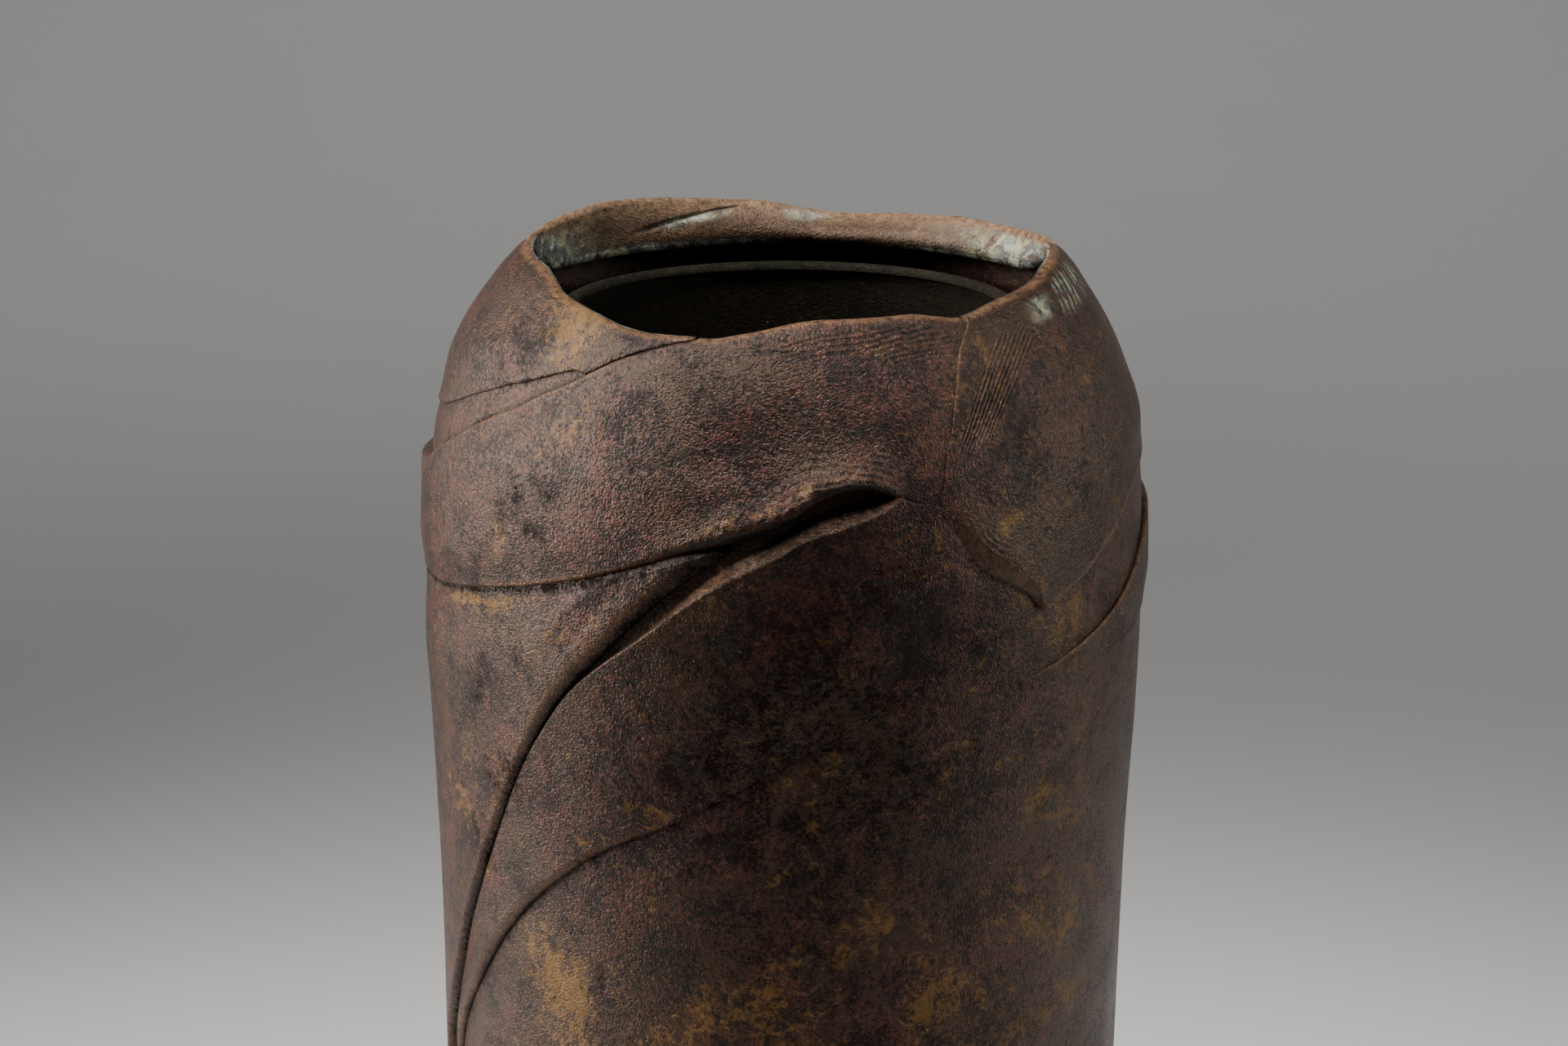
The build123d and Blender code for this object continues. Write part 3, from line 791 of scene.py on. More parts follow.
# The patina's own tones; the last is the tone of worn places, which also carries painted sheen
BROWN = (0.0410, 0.0180, 0.0078)
RED = (0.0800, 0.0205, 0.0132)
SLATE = (0.0115, 0.0136, 0.0134)
OCHRE = (0.165, 0.084, 0.020)
WORN_AND_SHEEN = (0.230, 0.118, 0.052)


def make_finishes() -> None:
    """Fills the table of finishes."""
    looks = {
        Finish.PATINA: BronzeFinish("patina", BROWN, RED, SLATE, OCHRE, WORN_AND_SHEEN),
        Finish.LIP: BronzeFinish(
            "lip_bronze", brown=(0.090, 0.047, 0.022), red=(0.130, 0.062, 0.032), slate=(0.06, 0.05, 0.045),
            ochre=(0.24, 0.15, 0.07), worn_and_sheen=(0.34, 0.20, 0.11), slate_from=0.56, roughness=0.44),
        Finish.FOOT: BronzeFinish("foot_bronze", BROWN, RED, SLATE, OCHRE, WORN_AND_SHEEN, roughness=0.48),
        Finish.SOLDER: BronzeFinish(
            "solder_grit", brown=(0.075, 0.040, 0.022), red=(0.10, 0.05, 0.03), slate=SLATE, ochre=OCHRE,
            worn_and_sheen=(0.19, 0.11, 0.06), roughness=0.54, bump=0.8),
        Finish.COPPER: BronzeFinish(
            "liner_copper", brown=(0.014, 0.011, 0.006), red=(0.018, 0.013, 0.007),
            slate=(0.009, 0.010, 0.009), ochre=(0.03, 0.025, 0.012), worn_and_sheen=(0.12, 0.10, 0.06),
            roughness=0.75, metallic=0.3, gloss=0.16, green_from=(0.2215, 0.2275), green_share=0.03),
    }
    for finish, look in looks.items():
        FINISHES[finish] = look.build()


@dataclass
class Trunk(Sheet):
    """The round wall that the sheets are wrapped on, with its plain inside."""

    name: str = "trunk_wall_cast"
    stretches: Stretches = ((-100, 100, 0.8), (100, 257.5, 2.5))
    rows: int = 268
    inside_rows: int = 30
    crowd: float = 0.15
    fine_from: float = 0.66
    closed_ring: bool = True
    pit_depth: float = 0.9
    pit_place: tuple[float, float] = (-31.5, 131.0)
    fold_height: float = 0.16
    fold_reach: Reach = Reach(54, 60, 74, 82)
    slit_depth: float = 1.1
    slit_reach: Reach = Reach(-33, -26, 12, 17)
    slit_rise: Reach = Reach(0.5, 2.5, 8.0, 11.0)
    # Where painted shade lies above the band's top edge, below the band and below the front sheet's low edge
    left_shoulder: Reach = Reach(278, 290, 330, 336)
    right_shadow: Reach = Reach(50, 90, 150, 170)
    low_corner: Reach = Reach(-84, -78, -34, -14)
    low_end: Reach = Reach(12, 26, 42, 45)

    def face(self, s: Section) -> Grid:
        """Outer radius, with faint casting hollows, a pit and a small fold under the band."""
        hollow = 0.10 * Grain(21)(s.place, (9.0, 9.0, 26.0)) + 0.02 * Grain(22)(s.place, 2.6)
        pit_angle, pit_height = self.pit_place
        pit = self.pit_depth * bell(s.angle, pit_angle, 0.55) * bell(s.height, pit_height, 0.5)
        under_band = bell(s.height - LINES.band_low(s.angle), -0.9, 1.1)
        fold = self.fold_height * self.fold_reach(s.angle) * under_band
        hollow = hollow * (1 - ease(s.height, 205, 215))
        return ground(s.angle, s.height) + hollow - pit + fold - self.slit_depth * self.slit(s)

    def slit(self, s: Section) -> Grid:
        """Where the wall is hollowed behind the long fold, from 0 to 1."""
        front = np.where(s.angle > 180, s.angle - 360, s.angle)
        return self.slit_reach(front) * self.slit_rise(s.height - LINES.front_lip(front))

    def marks(self, s: Section) -> dict[str, Grid]:
        """Painted shade in the narrow strips' corners, along the band's edges, under the front sheet's low
        edge and in the slit.
        """
        angle = s.angle % 360
        front = np.where(angle > 180, angle - 360, angle)
        band = np.where(angle < BAND_START, angle + 360, angle)
        neck = np.where(angle < NECK_START, angle + 360, angle)
        painted_shade = np.maximum.reduce([
            0.4 * bell(s.height - LINES.neck_low(neck), -0.1, 0.45),
            bell(s.height - LINES.band_top(band), 0.15, 0.55) * (
                0.15 + 0.45 * ease(band, 80, 110) + 0.4 * self.left_shoulder(band)),
            0.7 * (bell(s.height - LINES.band_low(band), -0.2, 0.5) * self.right_shadow(band)),
            0.8 * (bell(s.height - LINES.front_low(front), -0.2, 0.6) * (
                self.low_corner(front) + 0.30 * self.low_end(front))),
            self.slit(s),
        ])
        return {"painted_shade": painted_shade}


@dataclass
class FrontSheath(Sheet):
    """The broad front sheet, from the low left to the long fold below the mouth."""

    name: str = "front_sheath_leaf"
    stretches: Stretches = ((-84, 46, 0.36),)
    rows: int = 190
    crowd: float = 0.35
    body: float = 1.12
    low_edge: Curve = Curve((
        (-84, 0.9), (-74, 1.15), (-40, 1.15), (-28, 0.90), (-20, 0.42), (-13, 0.12), (-6, 0.04),
        (10, 0.04), (20, 0.12), (34, 0.24), (46, 0.3)))
    under_flap: float = 0.50
    band_cover: Reach = Reach(16.5, 18.5, 22.5, 24.5)
    lip_reach: Reach = Reach(-62, -40, 14.5, 18.5)
    # Where the lip is worn and where its pocket gets painted shade
    lip_wear_and_shade: Reach = Reach(-62, -40, 14.5, 18)
    lip_slant: float = 0.86
    ridge: float = 0.50
    bevel_depth: float = 1.5
    pocket_floor: float = 0.8
    dent_depth: float = 0.35
    dent_place: tuple[float, float] = (22, 186)

    def low(self, angle: Grid) -> Grid:
        """Its proud low edge."""
        return LINES.front_low(angle)

    def high(self, angle: Grid) -> Grid:
        """Its margin, hidden in the slit and under its neighbours."""
        return LINES.front_back(angle)

    def back(self, s: Section) -> Grid:
        """Inner radius, close on the trunk."""
        return ground(s.angle, s.height) + 0.04

    def above_lip(self, s: Section) -> Grid:
        """How far each place lies above the slit's lower lip, measured across it."""
        return (s.height - LINES.front_lip(s.angle)) * self.lip_slant

    def thick(self, s: Section) -> Grid:
        """The sheet's thickness, less where the flap, the left sheet and the band cover it."""
        edge = self.low_edge(s.angle)
        thick = edge + (self.body - edge) * ease(s.from_low, 0.8, 13.0)
        flap = LINES.neck_low(s.angle)
        near_flap = ease(s.angle, 22, 33) * ease(s.height, flap - 9.0, flap - 1.0)
        thick = thick + (self.under_flap - thick) * near_flap
        left = LINES.left_low(s.angle + 360)
        near_left = 1 - ease(s.angle, -31, -23)
        thick = thick + (TUCKED - thick) * near_left * ease(s.height, left - 1.0, left + 0.6)
        band = LINES.band_low(s.angle + 360)
        near_band = self.band_cover(s.angle) * ease(s.height, band, band + 1.2)
        return thick + (TUCKED - thick) * near_band

    def face(self, s: Section) -> Grid:
        """Outer radius: proud low edge, raised lip along the slit, slope into the pocket."""
        thick = self.thick(s)
        lip = self.lip_reach(s.angle)
        above = self.above_lip(s)
        ridge = self.ridge * (0.45 + 0.55 * ease(s.angle, -12, 10))
        crest = ridge * np.where(above > 0, 1.0, np.exp(-np.abs(above) / 3.4)) * lip
        width = 0.5 + 1.6 * ease(s.angle, -24, -6) * (1 - 0.45 * ease(s.angle, 6, 17))
        slope = np.clip(above / width, 0, 1)
        bevel = (0.78 * slope + 0.22 * slope ** 3) * self.bevel_depth
        pocket = ease(above, width, width + 1.6) * (thick + crest - self.pocket_floor)
        curl = 0.10 * lip * bell(above, -0.15, 0.28) * ease(s.angle, -12, 6)
        sheet = (thick + crest - (bevel + pocket) * lip + curl)
        sheet = sheet * rounded(s.from_low, 0.35 + 0.9 * self.low_edge(s.angle)) * ease(s.angle, -84, -82.5)
        hollow = 0.16 * Grain(31)(s.place, (11.0, 11.0, 16.0)) + 0.03 * layered(32, s.place, 3.0)
        dent_angle, dent_height = self.dent_place
        dent = self.dent_depth * bell(s.angle, dent_angle, 12) * bell(s.height, dent_height, 11)
        relief = (hollow - dent) * ease(s.from_low, 0, 4) * (1 - lip * ease(above, -1, 0.5))
        return ground(s.angle, s.height) + GAP + sheet + relief

    def marks(self, s: Section) -> dict[str, Grid]:
        """Worn crest and edge, painted shade in the pocket, down the lip's bevel and under the neighbours."""
        lip = self.lip_wear_and_shade(s.angle)
        above = self.above_lip(s)
        wear_and_sheen = (0.06 + 0.10 * ease(s.angle, -24, -8)) * lip * Reach(-0.3, 0.1, 0.8, 2.4)(above)
        wear_and_sheen += 0.35 * bell(s.from_low, 0.5, 0.5) * (1 - ease(s.angle, -30, -12))
        opens = ease(s.angle, -24, -6)
        under_left = bell(s.height - LINES.left_low(s.angle + 360), -0.3, 0.75)
        painted_shade = np.maximum.reduce([
            lip * ease(above, 0.3 + 0.9 * opens, 0.9 + 2.0 * opens),
            (1 - ease(s.angle, -30, -24)) * under_left,
            0.45 * bell(s.height - LINES.neck_low(s.angle), -0.1, 0.7) * ease(s.angle, 24, 30),
            0.45 * lip * Reach(0.1, 0.6, 3.0, 4.0)(above) * (0.5 + 0.5 * ease(s.angle, -30, 10)),
        ])
        return {"wear_and_sheen": wear_and_sheen, "painted_shade": painted_shade}


@dataclass
class LeftSheath(Sheet):
    """The sheet over the left side and the back, with its free edge swept up the front."""

    name: str = "left_sheath_leaf"
    stretches: Stretches = (
        (150, 180, 0.9), (180, 252, 1.2), (252, 300, 0.6), (300, 360.5, 0.36))
    rows: int = 230
    inside_rows: int = 24
    crowd: float = 0.75
    edge: float = 1.30
    stack: float = 2.25
    under_band: float = 0.40
    tuck: float = 5.0
    back_edge: float = 178
    free_from: float = 256
    roll_reach: Reach = Reach(296, 312, 342, 350)
    crest_reach: Reach = Reach(290, 320, 336, 344)
    crust_reach: Reach = Reach(291, 298, 318, 328)

    def low(self, angle: Grid) -> Grid:
        """Its free edge at the front, and the foot elsewhere."""
        foot = TRUNK_BOTTOM + GAP
        return np.where(angle < self.free_from, foot, np.maximum(LINES.left_low(angle), foot))

    def high(self, angle: Grid) -> Grid:
        """Its top edge, tucked under the band, and its slanted edge at the back."""
        tuck = self.tuck * ease(angle, 178, 184) * (1 - 0.85 * ease(angle, 343, 352))
        return np.where(angle < self.back_edge, LINES.left_back(angle), LINES.band_low(angle) + tuck)

    def face(self, s: Section) -> Grid:
        """Outer radius: a soft rolled free edge, thicker where it covers the front sheet."""
        deep = (1 - ease(s.height, 104, 176)) * ease(s.height, TRUNK_BOTTOM, 60)
        thick = self.edge + (self.stack - self.edge) * deep * ease(s.angle, 180, 255)
        band_edge = LINES.band_low(s.angle)
        thinning = 1.0 + 13.0 * (1 - ease(s.angle, 310, 334))
        tucked = ease(s.angle, 172, 178) * ease(s.height, band_edge - thinning, band_edge + 0.4)
        thick = thick + (self.under_band - thick) * tucked
        roll = (0.20 + 0.15 * ease(s.angle, 322, 336)) * bell(s.from_low, 2.8, 1.9)
        roll = roll * self.roll_reach(s.angle)
        free = rounded(s.from_low, 1.4 + 0.9 * ease(s.angle, 300, 334))
        free = np.where(s.angle < 258, np.sqrt(rounded(s.from_low, 1.0)), free)
        free = np.where(s.angle < 179, free * rounded(s.from_high, 1.3), free)
        uneven = 0.12 * Grain(41)(s.place, (12.0, 12.0, 20.0)) + 0.02 * layered(42, s.place, 3.0)
        tip = 1 - ease(s.angle, 345, 357)
        sheet = (thick * free + roll + uneven * free) * (0.15 + 0.85 * tip) * ease(s.angle, 150, 151)
        return ground(s.angle, s.height) + 2 * GAP + sheet

    def back(self, s: Section) -> Grid:
        """Inner radius, lifted over the front sheet's tucked margin."""
        margin = LINES.front_back(s.angle - 360)
        over = ease(s.angle, 272, 282) * (1 - ease(s.height, margin, margin + 3.0))
        return ground(s.angle, s.height) + 0.06 + 0.45 * over * (1 - bell(s.from_low, 0, 0.3))

    def marks(self, s: Section) -> dict[str, Grid]:
        """Painted shade and an ochre crust under the band, painted shade at the free edge's foot, on the tip
        and over the back, and a worn crest.
        """
        below_band = s.height - LINES.band_low(s.angle)
        reach = 0.50 + 0.55 * ease(s.angle, 308, 326)
        foot_width = 0.35 + 0.5 * ease(s.angle, 322, 338)
        painted_shade = np.maximum.reduce([
            bell(below_band, -0.4 * reach, reach) * ease(s.angle, 176, 182),
            bell(s.from_low, 0.0, foot_width) * ease(s.angle, 256, 262),
            0.45 * ease(s.angle, 334, 346),
            ease(s.angle, 345.5, 351),
        ])
        wear_and_sheen = 0.25 * bell(s.from_low, 1.9, 0.9) * self.crest_reach(s.angle)
        crust = 0.50 * bell(below_band, -2.0, 1.2) * self.crust_reach(s.angle)
        return {"painted_shade": painted_shade, "wear_and_sheen": wear_and_sheen, "ochre": crust, "painted_shade_back": 1.0}


@dataclass
class ShoulderBand(Sheet):
    """The long leaf round the shoulder, up to the mouth, with the gritty brow over the slit."""

    name: str = "shoulder_band_leaf"
    stretches: Stretches = (
        (BAND_START, 90, 0.7), (90, 270, 1.1), (270, 345, 0.42), (345, 384, 0.26), (384, 394.6, 0.16))
    rows: int = 120
    inside_rows: int = 16
    crowd: float = 0.62
    seam_from: float = 383
    mouth_from: float = 343
    body: Curve = Curve(((38, 0.20), (60, 0.42), (90, 0.95), (140, 1.25), (400, LEAF)))
    low_edge: Curve = Curve((
        (38, 0.10), (84, 0.22), (110, 0.55), (200, 0.8), (270, 0.75), (285, 0.78), (305, 0.84),
        (320, 0.92), (335, 1.10), (344, 1.60), (350, 2.05), (360, 2.2), (371, 2.35), (375, 1.8),
        (378, 1.22), (381, 1.12), (400, 1.2)))
    top_edge: Curve = Curve((
        (38, 0.2), (60, 0.42), (78, 0.66), (92, 1.00), (120, 1.5), (265, 1.55), (278, 1.45),
        (290, 1.10), (300, 0.88), (310, 0.74), (320, 0.72), (330, 0.92), (343, 1.24), (400, LEAF)))
    low_width: Curve = Curve((
        (38, 0.6), (280, 0.45), (320, 0.60), (334, 1.0), (344, 2.2), (352, 3.0), (366, 2.8),
        (375, 1.6), (400, 1.3)))
    stroke_depth: float = 0.055
    margin: float = 5.0
    margin_fade: float = 3.0
    lap: float = 0.5

    def low(self, angle: Grid) -> Grid:
        """Its low edge, then the seam at its right end."""
        return np.where(angle > self.seam_from, LINES.seam(angle), LINES.band_low(angle))

    def high(self, angle: Grid) -> Grid:
        """Its top edge, then the mouth."""
        return np.where(angle > self.mouth_from, LINES.rim_at(angle), LINES.band_top(angle))

    def face(self, s: Section) -> Grid:
        """Outer radius."""
        body = self.body(s.angle)
        thick = body + (self.low_edge(s.angle) - body) * (1 - ease(s.from_low, 0.2, 6.5))
        thick = thick + (self.top_edge(s.angle) - body) * (1 - ease(s.from_high, 0.2, 6.0))
        hollow = 0.55 * bell(s.angle, 352, 14.0) * bell(s.from_low, 12.0, 6.0)
        low_round = 1 - ease(s.angle, 376.5, 380)
        edge = 1 - low_round * (1 - rounded(s.from_low, self.low_width(s.angle)))
        shallow = 1 - 0.6 * Reach(314, 326, 341, 343)(s.angle)
        top = 1 - shallow * (1 - rounded(s.from_high, 0.5))
        edge = edge * np.where(s.angle > self.mouth_from, mouth_roll(s.from_high), top)
        sheet = (thick + self.brow(s) - hollow) * edge
        return ground(s.angle, s.height) + GAP + sheet + self.grit(s) + self.strokes(s)

    def brow(self, s: Section) -> Grid:
        """The swelling over the slit."""
        swell = 1.0 * bell(s.angle, 368, 7.5) * (1 - ease(s.from_low, 0.3, 8.5))
        swell += 0.5 * bell(s.angle, 356, 12.0) * (1 - ease(s.from_low, 0.5, 6.0))
        return swell * (1 - ease(s.angle, 372, 380) * (1 - ease(s.from_low, 0.5, 4.0)))

    def grit(self, s: Section) -> Grid:
        """Crumbs of casting, coarse on the brow's crest, finer over it and along the top edge."""
        crest = Reach(344, 351, 361, 367)(s.angle)
        total = 0.38 * layered(51, s.place, 1.0, 3) * crest * bell(s.from_low, 2.9, 1.1)
        over_brow = Reach(340, 348, 370, 376)(s.angle)
        total += 0.16 * layered(57, s.place, 1.2, 3) * over_brow * (1 - ease(s.from_low, 2.0, 4.5))
        top_edge = Reach(285, 292, 335, 340)(s.angle)
        total += 0.10 * layered(52, s.place, 1.6, 2) * bell(s.from_high, 0.2, 0.6) * top_edge
        return total

    def strokes(self, s: Section) -> Grid:
        """Fine drag marks along the leaf, below the mouth and above the slit."""
        warp = 1.2 * Grain(53)(s.place, 9.0) + 0.35 * Grain(54)(s.place, 3.0)
        lane = s.from_high + 0.05 * (s.angle - 366) ** 2 / 12 + warp
        broken = ease(Grain(55)(s.place, (5.0, 5.0, 2.0)), -0.5, 0.4)
        rim_marks = self.stroke_depth * grooves(lane, 0.85) * broken
        rim_marks = rim_marks * Reach(350, 357, 388, 393)(s.angle) * Reach(0.8, 2.0, 7.0, 10.5)(s.from_high)
        slit_lane = s.from_low + 0.14 * (s.angle - 378) + 0.7 * warp
        slit_marks = self.stroke_depth * grooves(slit_lane, 1.0) * broken
        slit_marks = slit_marks * Reach(357, 362, 373, 379)(s.angle) * Reach(0.9, 2.0, 6.0, 9.0)(s.from_low)
        return rim_marks + slit_marks

    def back(self, s: Section) -> Grid:
        """Inner radius, lifted over the tucked margins of its neighbours."""
        line = LINES.band_low(s.angle)
        beyond = ease(s.height, line + self.margin, line + (self.margin + self.margin_fade))
        over_left = Reach(140, 150, 352, 356)(s.angle) * (1 - beyond)
        bottom = self.high(s.angle) - self.margin
        over_neck = Reach(304, 314, 346, 350)(s.angle) * ease(s.height, bottom - self.margin_fade, bottom)
        lift = self.lap * np.maximum(over_left, over_neck) * ease(s.angle, 90, 120)
        curl = 0.35 * Reach(346, 352, 373, 377)(s.angle) * (1 - ease(s.from_low, 0.0, 3.5))
        return ground(s.angle, s.height) + 0.03 + lift + curl

    def marks(self, s: Section) -> dict[str, Grid]:
        """Worn edges and stroke ridges, ochre grit on the brow, painted shade under the brow, in the stroke
        grooves and over the back.
        """
        wear_and_sheen = 0.55 * bell(s.from_high, 0.25, 0.30) * Reach(282, 290, 322, 336)(s.angle)
        wear_and_sheen += 0.75 * bell(s.from_high, 0.1, 0.42) * ease(s.angle, 341, 344)
        wear_and_sheen += 0.5 * bell(s.from_high, 0.2, 0.40) * Reach(40, 46, 90, 110)(s.angle)
        wear_and_sheen += 0.45 * bell(s.from_low, 0.5, 0.45) * Reach(300, 316, 340, 346)(s.angle)
        crumbs = ease(layered(56, s.place, 1.2, 3), -0.1, 0.35)
        wear_and_sheen += 0.75 * crumbs * Reach(344, 350, 364, 374)(s.angle) * bell(s.from_low, 3.0, 0.9)
        painted_shade = 0.75 * Reach(338, 348, 375, 378)(s.angle) * (1 - ease(s.from_low, 0.2, 1.6))
        lines = self.strokes(s) / self.stroke_depth
        wear_and_sheen = wear_and_sheen + 0.20 * np.maximum(lines, 0)
        return {"wear_and_sheen": wear_and_sheen, "painted_shade": np.maximum(painted_shade, -0.45 * lines), "painted_shade_back": 1.0}


@dataclass
class NeckHalf(Sheet):
    """What both halves of the neck have in common."""

    body: float = LEAF
    inside_rows: int = 18

    def back(self, s: Section) -> Grid:
        """Inner radius, a little deeper where the trunk ends behind it."""
        return ground(s.angle, s.height) - 0.05 - 0.35 * ease(s.height, TRUNK_TOP, TRUNK_TOP + 2)


@dataclass
class RightNeck(NeckHalf):
    """The right half of the neck, with the overhanging flap at the front."""

    name: str = "right_neck_leaf"
    stretches: Stretches = ((22.6, 48, 0.16), (48, 92, 0.3), (92, 176, 0.9))
    rows: int = 210
    crowd: float = 0.55
    seam_until: float = 35.4
    seam_gap: float = 0.12
    edge: Curve = Curve((
        (22, 1.12), (25, 1.30), (29, 1.75), (34, 1.95), (38, 1.85), (41.2, 1.55), (44, 1.1),
        (52, 0.85), (62, 0.70), (78, 0.45), (110, 0.5), (176, 0.5)))
    chamfer_width: Curve = Curve((
        (22, 1.4), (25, 2.4), (29, 3.1), (33, 2.9), (37, 2.3), (40, 1.6), (42, 0.5), (176, 0.4)))
    scratch_depth: float = 0.055
    nick_depth: float = 0.5
    nick_places: tuple[tuple[float, float], ...] = (
        (50.4, 226.8), (51.2, 226.3), (54.8, 223.7), (54.6, 212.3), (57.8, 212.0))

    def low(self, angle: Grid) -> Grid:
        """Its low edge."""
        return LINES.neck_low(angle)

    def high(self, angle: Grid) -> Grid:
        """The seam, then the mouth."""
        return np.where(angle < self.seam_until, LINES.seam(angle + 360) - self.seam_gap, neck_top(angle))

    def face(self, s: Section) -> Grid:
        """Outer radius: chamfered flap, thin right edge, combed scratches."""
        edge = self.edge(s.angle)
        thick = edge + (self.body - edge) * ease(s.from_low, 1.6, 9.0)
        lift = 0.25 * bell(s.angle, 36, 8) * bell(s.from_low, 4.5, 3.0)
        thick = thick + (TUCKED - thick) * ease(s.angle, 150, 158)
        relief = self.scratch_depth * self.scratches(s)
        sheet = (thick + lift + relief) * self.profile(s)
        return ground(s.angle, s.height) + GAP + sheet - self.nicks(s)

    def profile(self, s: Section) -> Grid:
        """The share of its thickness that the sheet has near its edges."""
        width = self.chamfer_width(s.angle)
        chamfer = 0.35 * np.clip(s.from_low / width, 0, 1) + 0.65 * rounded(s.from_low, width)
        start = 1 - ease(s.angle, 22.5, 27)
        chamfer = chamfer + (1 - chamfer) * 0.9 * start
        flap = 1 - ease(s.angle, 40.6, 42.6)
        profile = chamfer * flap + rounded(s.from_low, 0.5) * (1 - flap)
        mouth = np.where(s.angle < self.seam_until, 1.0, mouth_roll(s.from_high))
        return profile * (1 - (1 - mouth) * ease(s.angle, 35.3, 36.5))

    def scratches(self, s: Section) -> Grid:
        """Combed lines down the flap, and curved ones along its edges, from -1 to 1."""
        rise = s.height - 214.0
        lane = (s.place[..., 0] - 24.8 - 0.39 * rise) / (1 + 0.03 * rise) + 0.12 * Grain(61)(s.place, 7.0)
        comb = 1.9 * grooves(lane, 0.56)
        comb = comb * Reach(-0.9, 0.4, 4.0, 5.0)(lane) * Reach(210.5, 215, 226, 229)(s.height)
        comb = comb * ease(Grain(62)(s.place, 5.0), -0.9, -0.1)
        along = s.from_low + 0.8 * Grain(63)(s.place, 6.0)
        edge_marks = 0.5 * grooves(along, 0.9)
        edge_marks = edge_marks * Reach(24, 28, 50, 58)(s.angle) * Reach(2.8, 3.6, 6.5, 9.5)(along)
        edge_marks = edge_marks * ease(Grain(65)(s.place, (4.0, 4.0, 2.0)), -0.6, 0.2)
        drag = (s.height - 0.55 * (s.angle - 50)) + 0.6 * Grain(64)(s.place, 5.0)
        drag_marks = 0.6 * grooves(drag, 0.9)
        drag_marks = drag_marks * Reach(46, 52, 62, 68)(s.angle) * Reach(0.8, 1.6, 6.0, 9.0)(s.from_low)
        drag_marks = drag_marks * ease(Grain(66)(s.place, 3.0), -0.5, 0.3)
        return comb + edge_marks + drag_marks

    def nicks(self, s: Section) -> Grid:
        """Small nicks in the casting, which the marks darken with painted shade."""
        total = np.zeros_like(s.height)
        for angle, height in self.nick_places:
            total += self.nick_depth * bell(s.angle, angle, 0.36) * bell(s.height, height, 0.5)
        return total

    def marks(self, s: Section) -> dict[str, Grid]:
        """Ochre chamfer, worn lip and scratch ridges, pale green runs near the mouth, painted shade in the
        nicks and scratch grooves.
        """
        flap = Reach(22, 25, 40, 42.5)(s.angle)
        at_seam = 1 - ease(s.angle, self.seam_until, 36)
        wear_and_sheen = 0.40 * flap * ease(s.angle, 24, 30) * (1 - ease(s.from_low, 1.6, 3.8))
        wear_and_sheen += 1.0 * Reach(41, 43, 74, 84)(s.angle) * bell(s.from_low, 0.3, 0.42)
        wear_and_sheen += 0.7 * bell(s.from_high, 0.1, 0.45) * ease(s.angle, 35, 37)
        wear_and_sheen += 0.2 * bell(s.from_high, 0.1, 0.5) * at_seam * ease(s.height, 214, 221)
        green = 0.75 * bell(s.angle, 56, 3.2) * Reach(1.0, 2.0, 3.8, 6.0)(s.from_high)
        runs = 0.5 + 0.5 * grooves(s.angle - 0.4 * s.height, 2.4)
        green += 0.7 * runs * Reach(62, 66, 78, 86)(s.angle) * Reach(0.8, 2.2, 5.0, 8.0)(s.from_high)
        lines = self.scratches(s)
        wear_and_sheen = wear_and_sheen + 0.22 * np.maximum(lines, 0)
        return {"wear_and_sheen": wear_and_sheen, "green": green, "painted_shade": np.maximum(2.0 * self.nicks(s), -0.55 * lines),
                "green_back": 0.9 * ease(s.angle[:, :1], 60, 90)}


@dataclass
class LeftNeck(NeckHalf):
    """The left half of the neck, lapped over the right half at the back."""

    name: str = "left_neck_leaf"
    stretches: Stretches = ((157, 172, 0.35), (172, 268, 0.9), (268, 342.4, 0.30))
    rows: int = 150
    crowd: float = 0.6
    edge: Curve = Curve((
        (157, 1.0), (180, 0.6), (260, 0.5), (280, 0.42), (300, 0.36), (312, 0.42), (322, 0.62),
        (331, 0.92), (343, 1.24), (350, 1.24)))
    lap: float = 0.55
    lines_meet: float = 320
    joint_until: float = 169
    band_gap: float = 0.12

    def low(self, angle: Grid) -> Grid:
        """Its low edge, and beyond the meeting of the lines its margin under the band."""
        free = LINES.neck_low(np.minimum(angle, self.lines_meet))
        return np.maximum(free, LINES.band_top(angle) + self.band_gap)

    def high(self, angle: Grid) -> Grid:
        """The mouth, and at the back its slanted edge."""
        joint = np.minimum(LINES.neck_joint(angle), neck_top(angle))
        return np.where(angle < self.joint_until, joint, neck_top(angle))

    def face(self, s: Section) -> Grid:
        """Outer radius: a soft ragged low edge, and the lap at the back."""
        edge = self.edge(s.angle)
        thick = edge + (self.body - edge) * ease(s.from_low, 0.8, 9.0)
        ragged = 0.16 * layered(71, s.place, 1.6, 2) * bell(s.from_low, 0.7, 0.9) * ease(s.angle, 270, 285)
        shallow = 1 - 0.6 * ease(s.angle, 316, 328)
        soft = 0.45 + 0.95 * ease(s.angle, 262, 285)
        profile = (1 - shallow * (1 - rounded(s.from_low, soft))) * mouth_roll(s.from_high)
        over_right = 1 - ease(s.angle, 170, 182)
        uneven = 0.10 * Grain(72)(s.place, 8.0) * (1 - ease(s.height, 222, 230))
        sheet = (thick + uneven) * profile * ease(s.angle, 157, 158)
        return ground(s.angle, s.height) + GAP + self.lap * over_right + sheet + ragged

    def marks(self, s: Section) -> dict[str, Grid]:
        """Worn lip, painted shade along the low edge where the band starts."""
        wear_and_sheen = 0.7 * bell(s.from_high, 0.1, 0.42)
        painted_shade = 0.3 * bell(s.from_low, 0.1, 0.35) * Reach(285, 300, 332, 341)(s.angle)
        return {"wear_and_sheen": wear_and_sheen, "painted_shade": painted_shade, "green_back": 0.9}


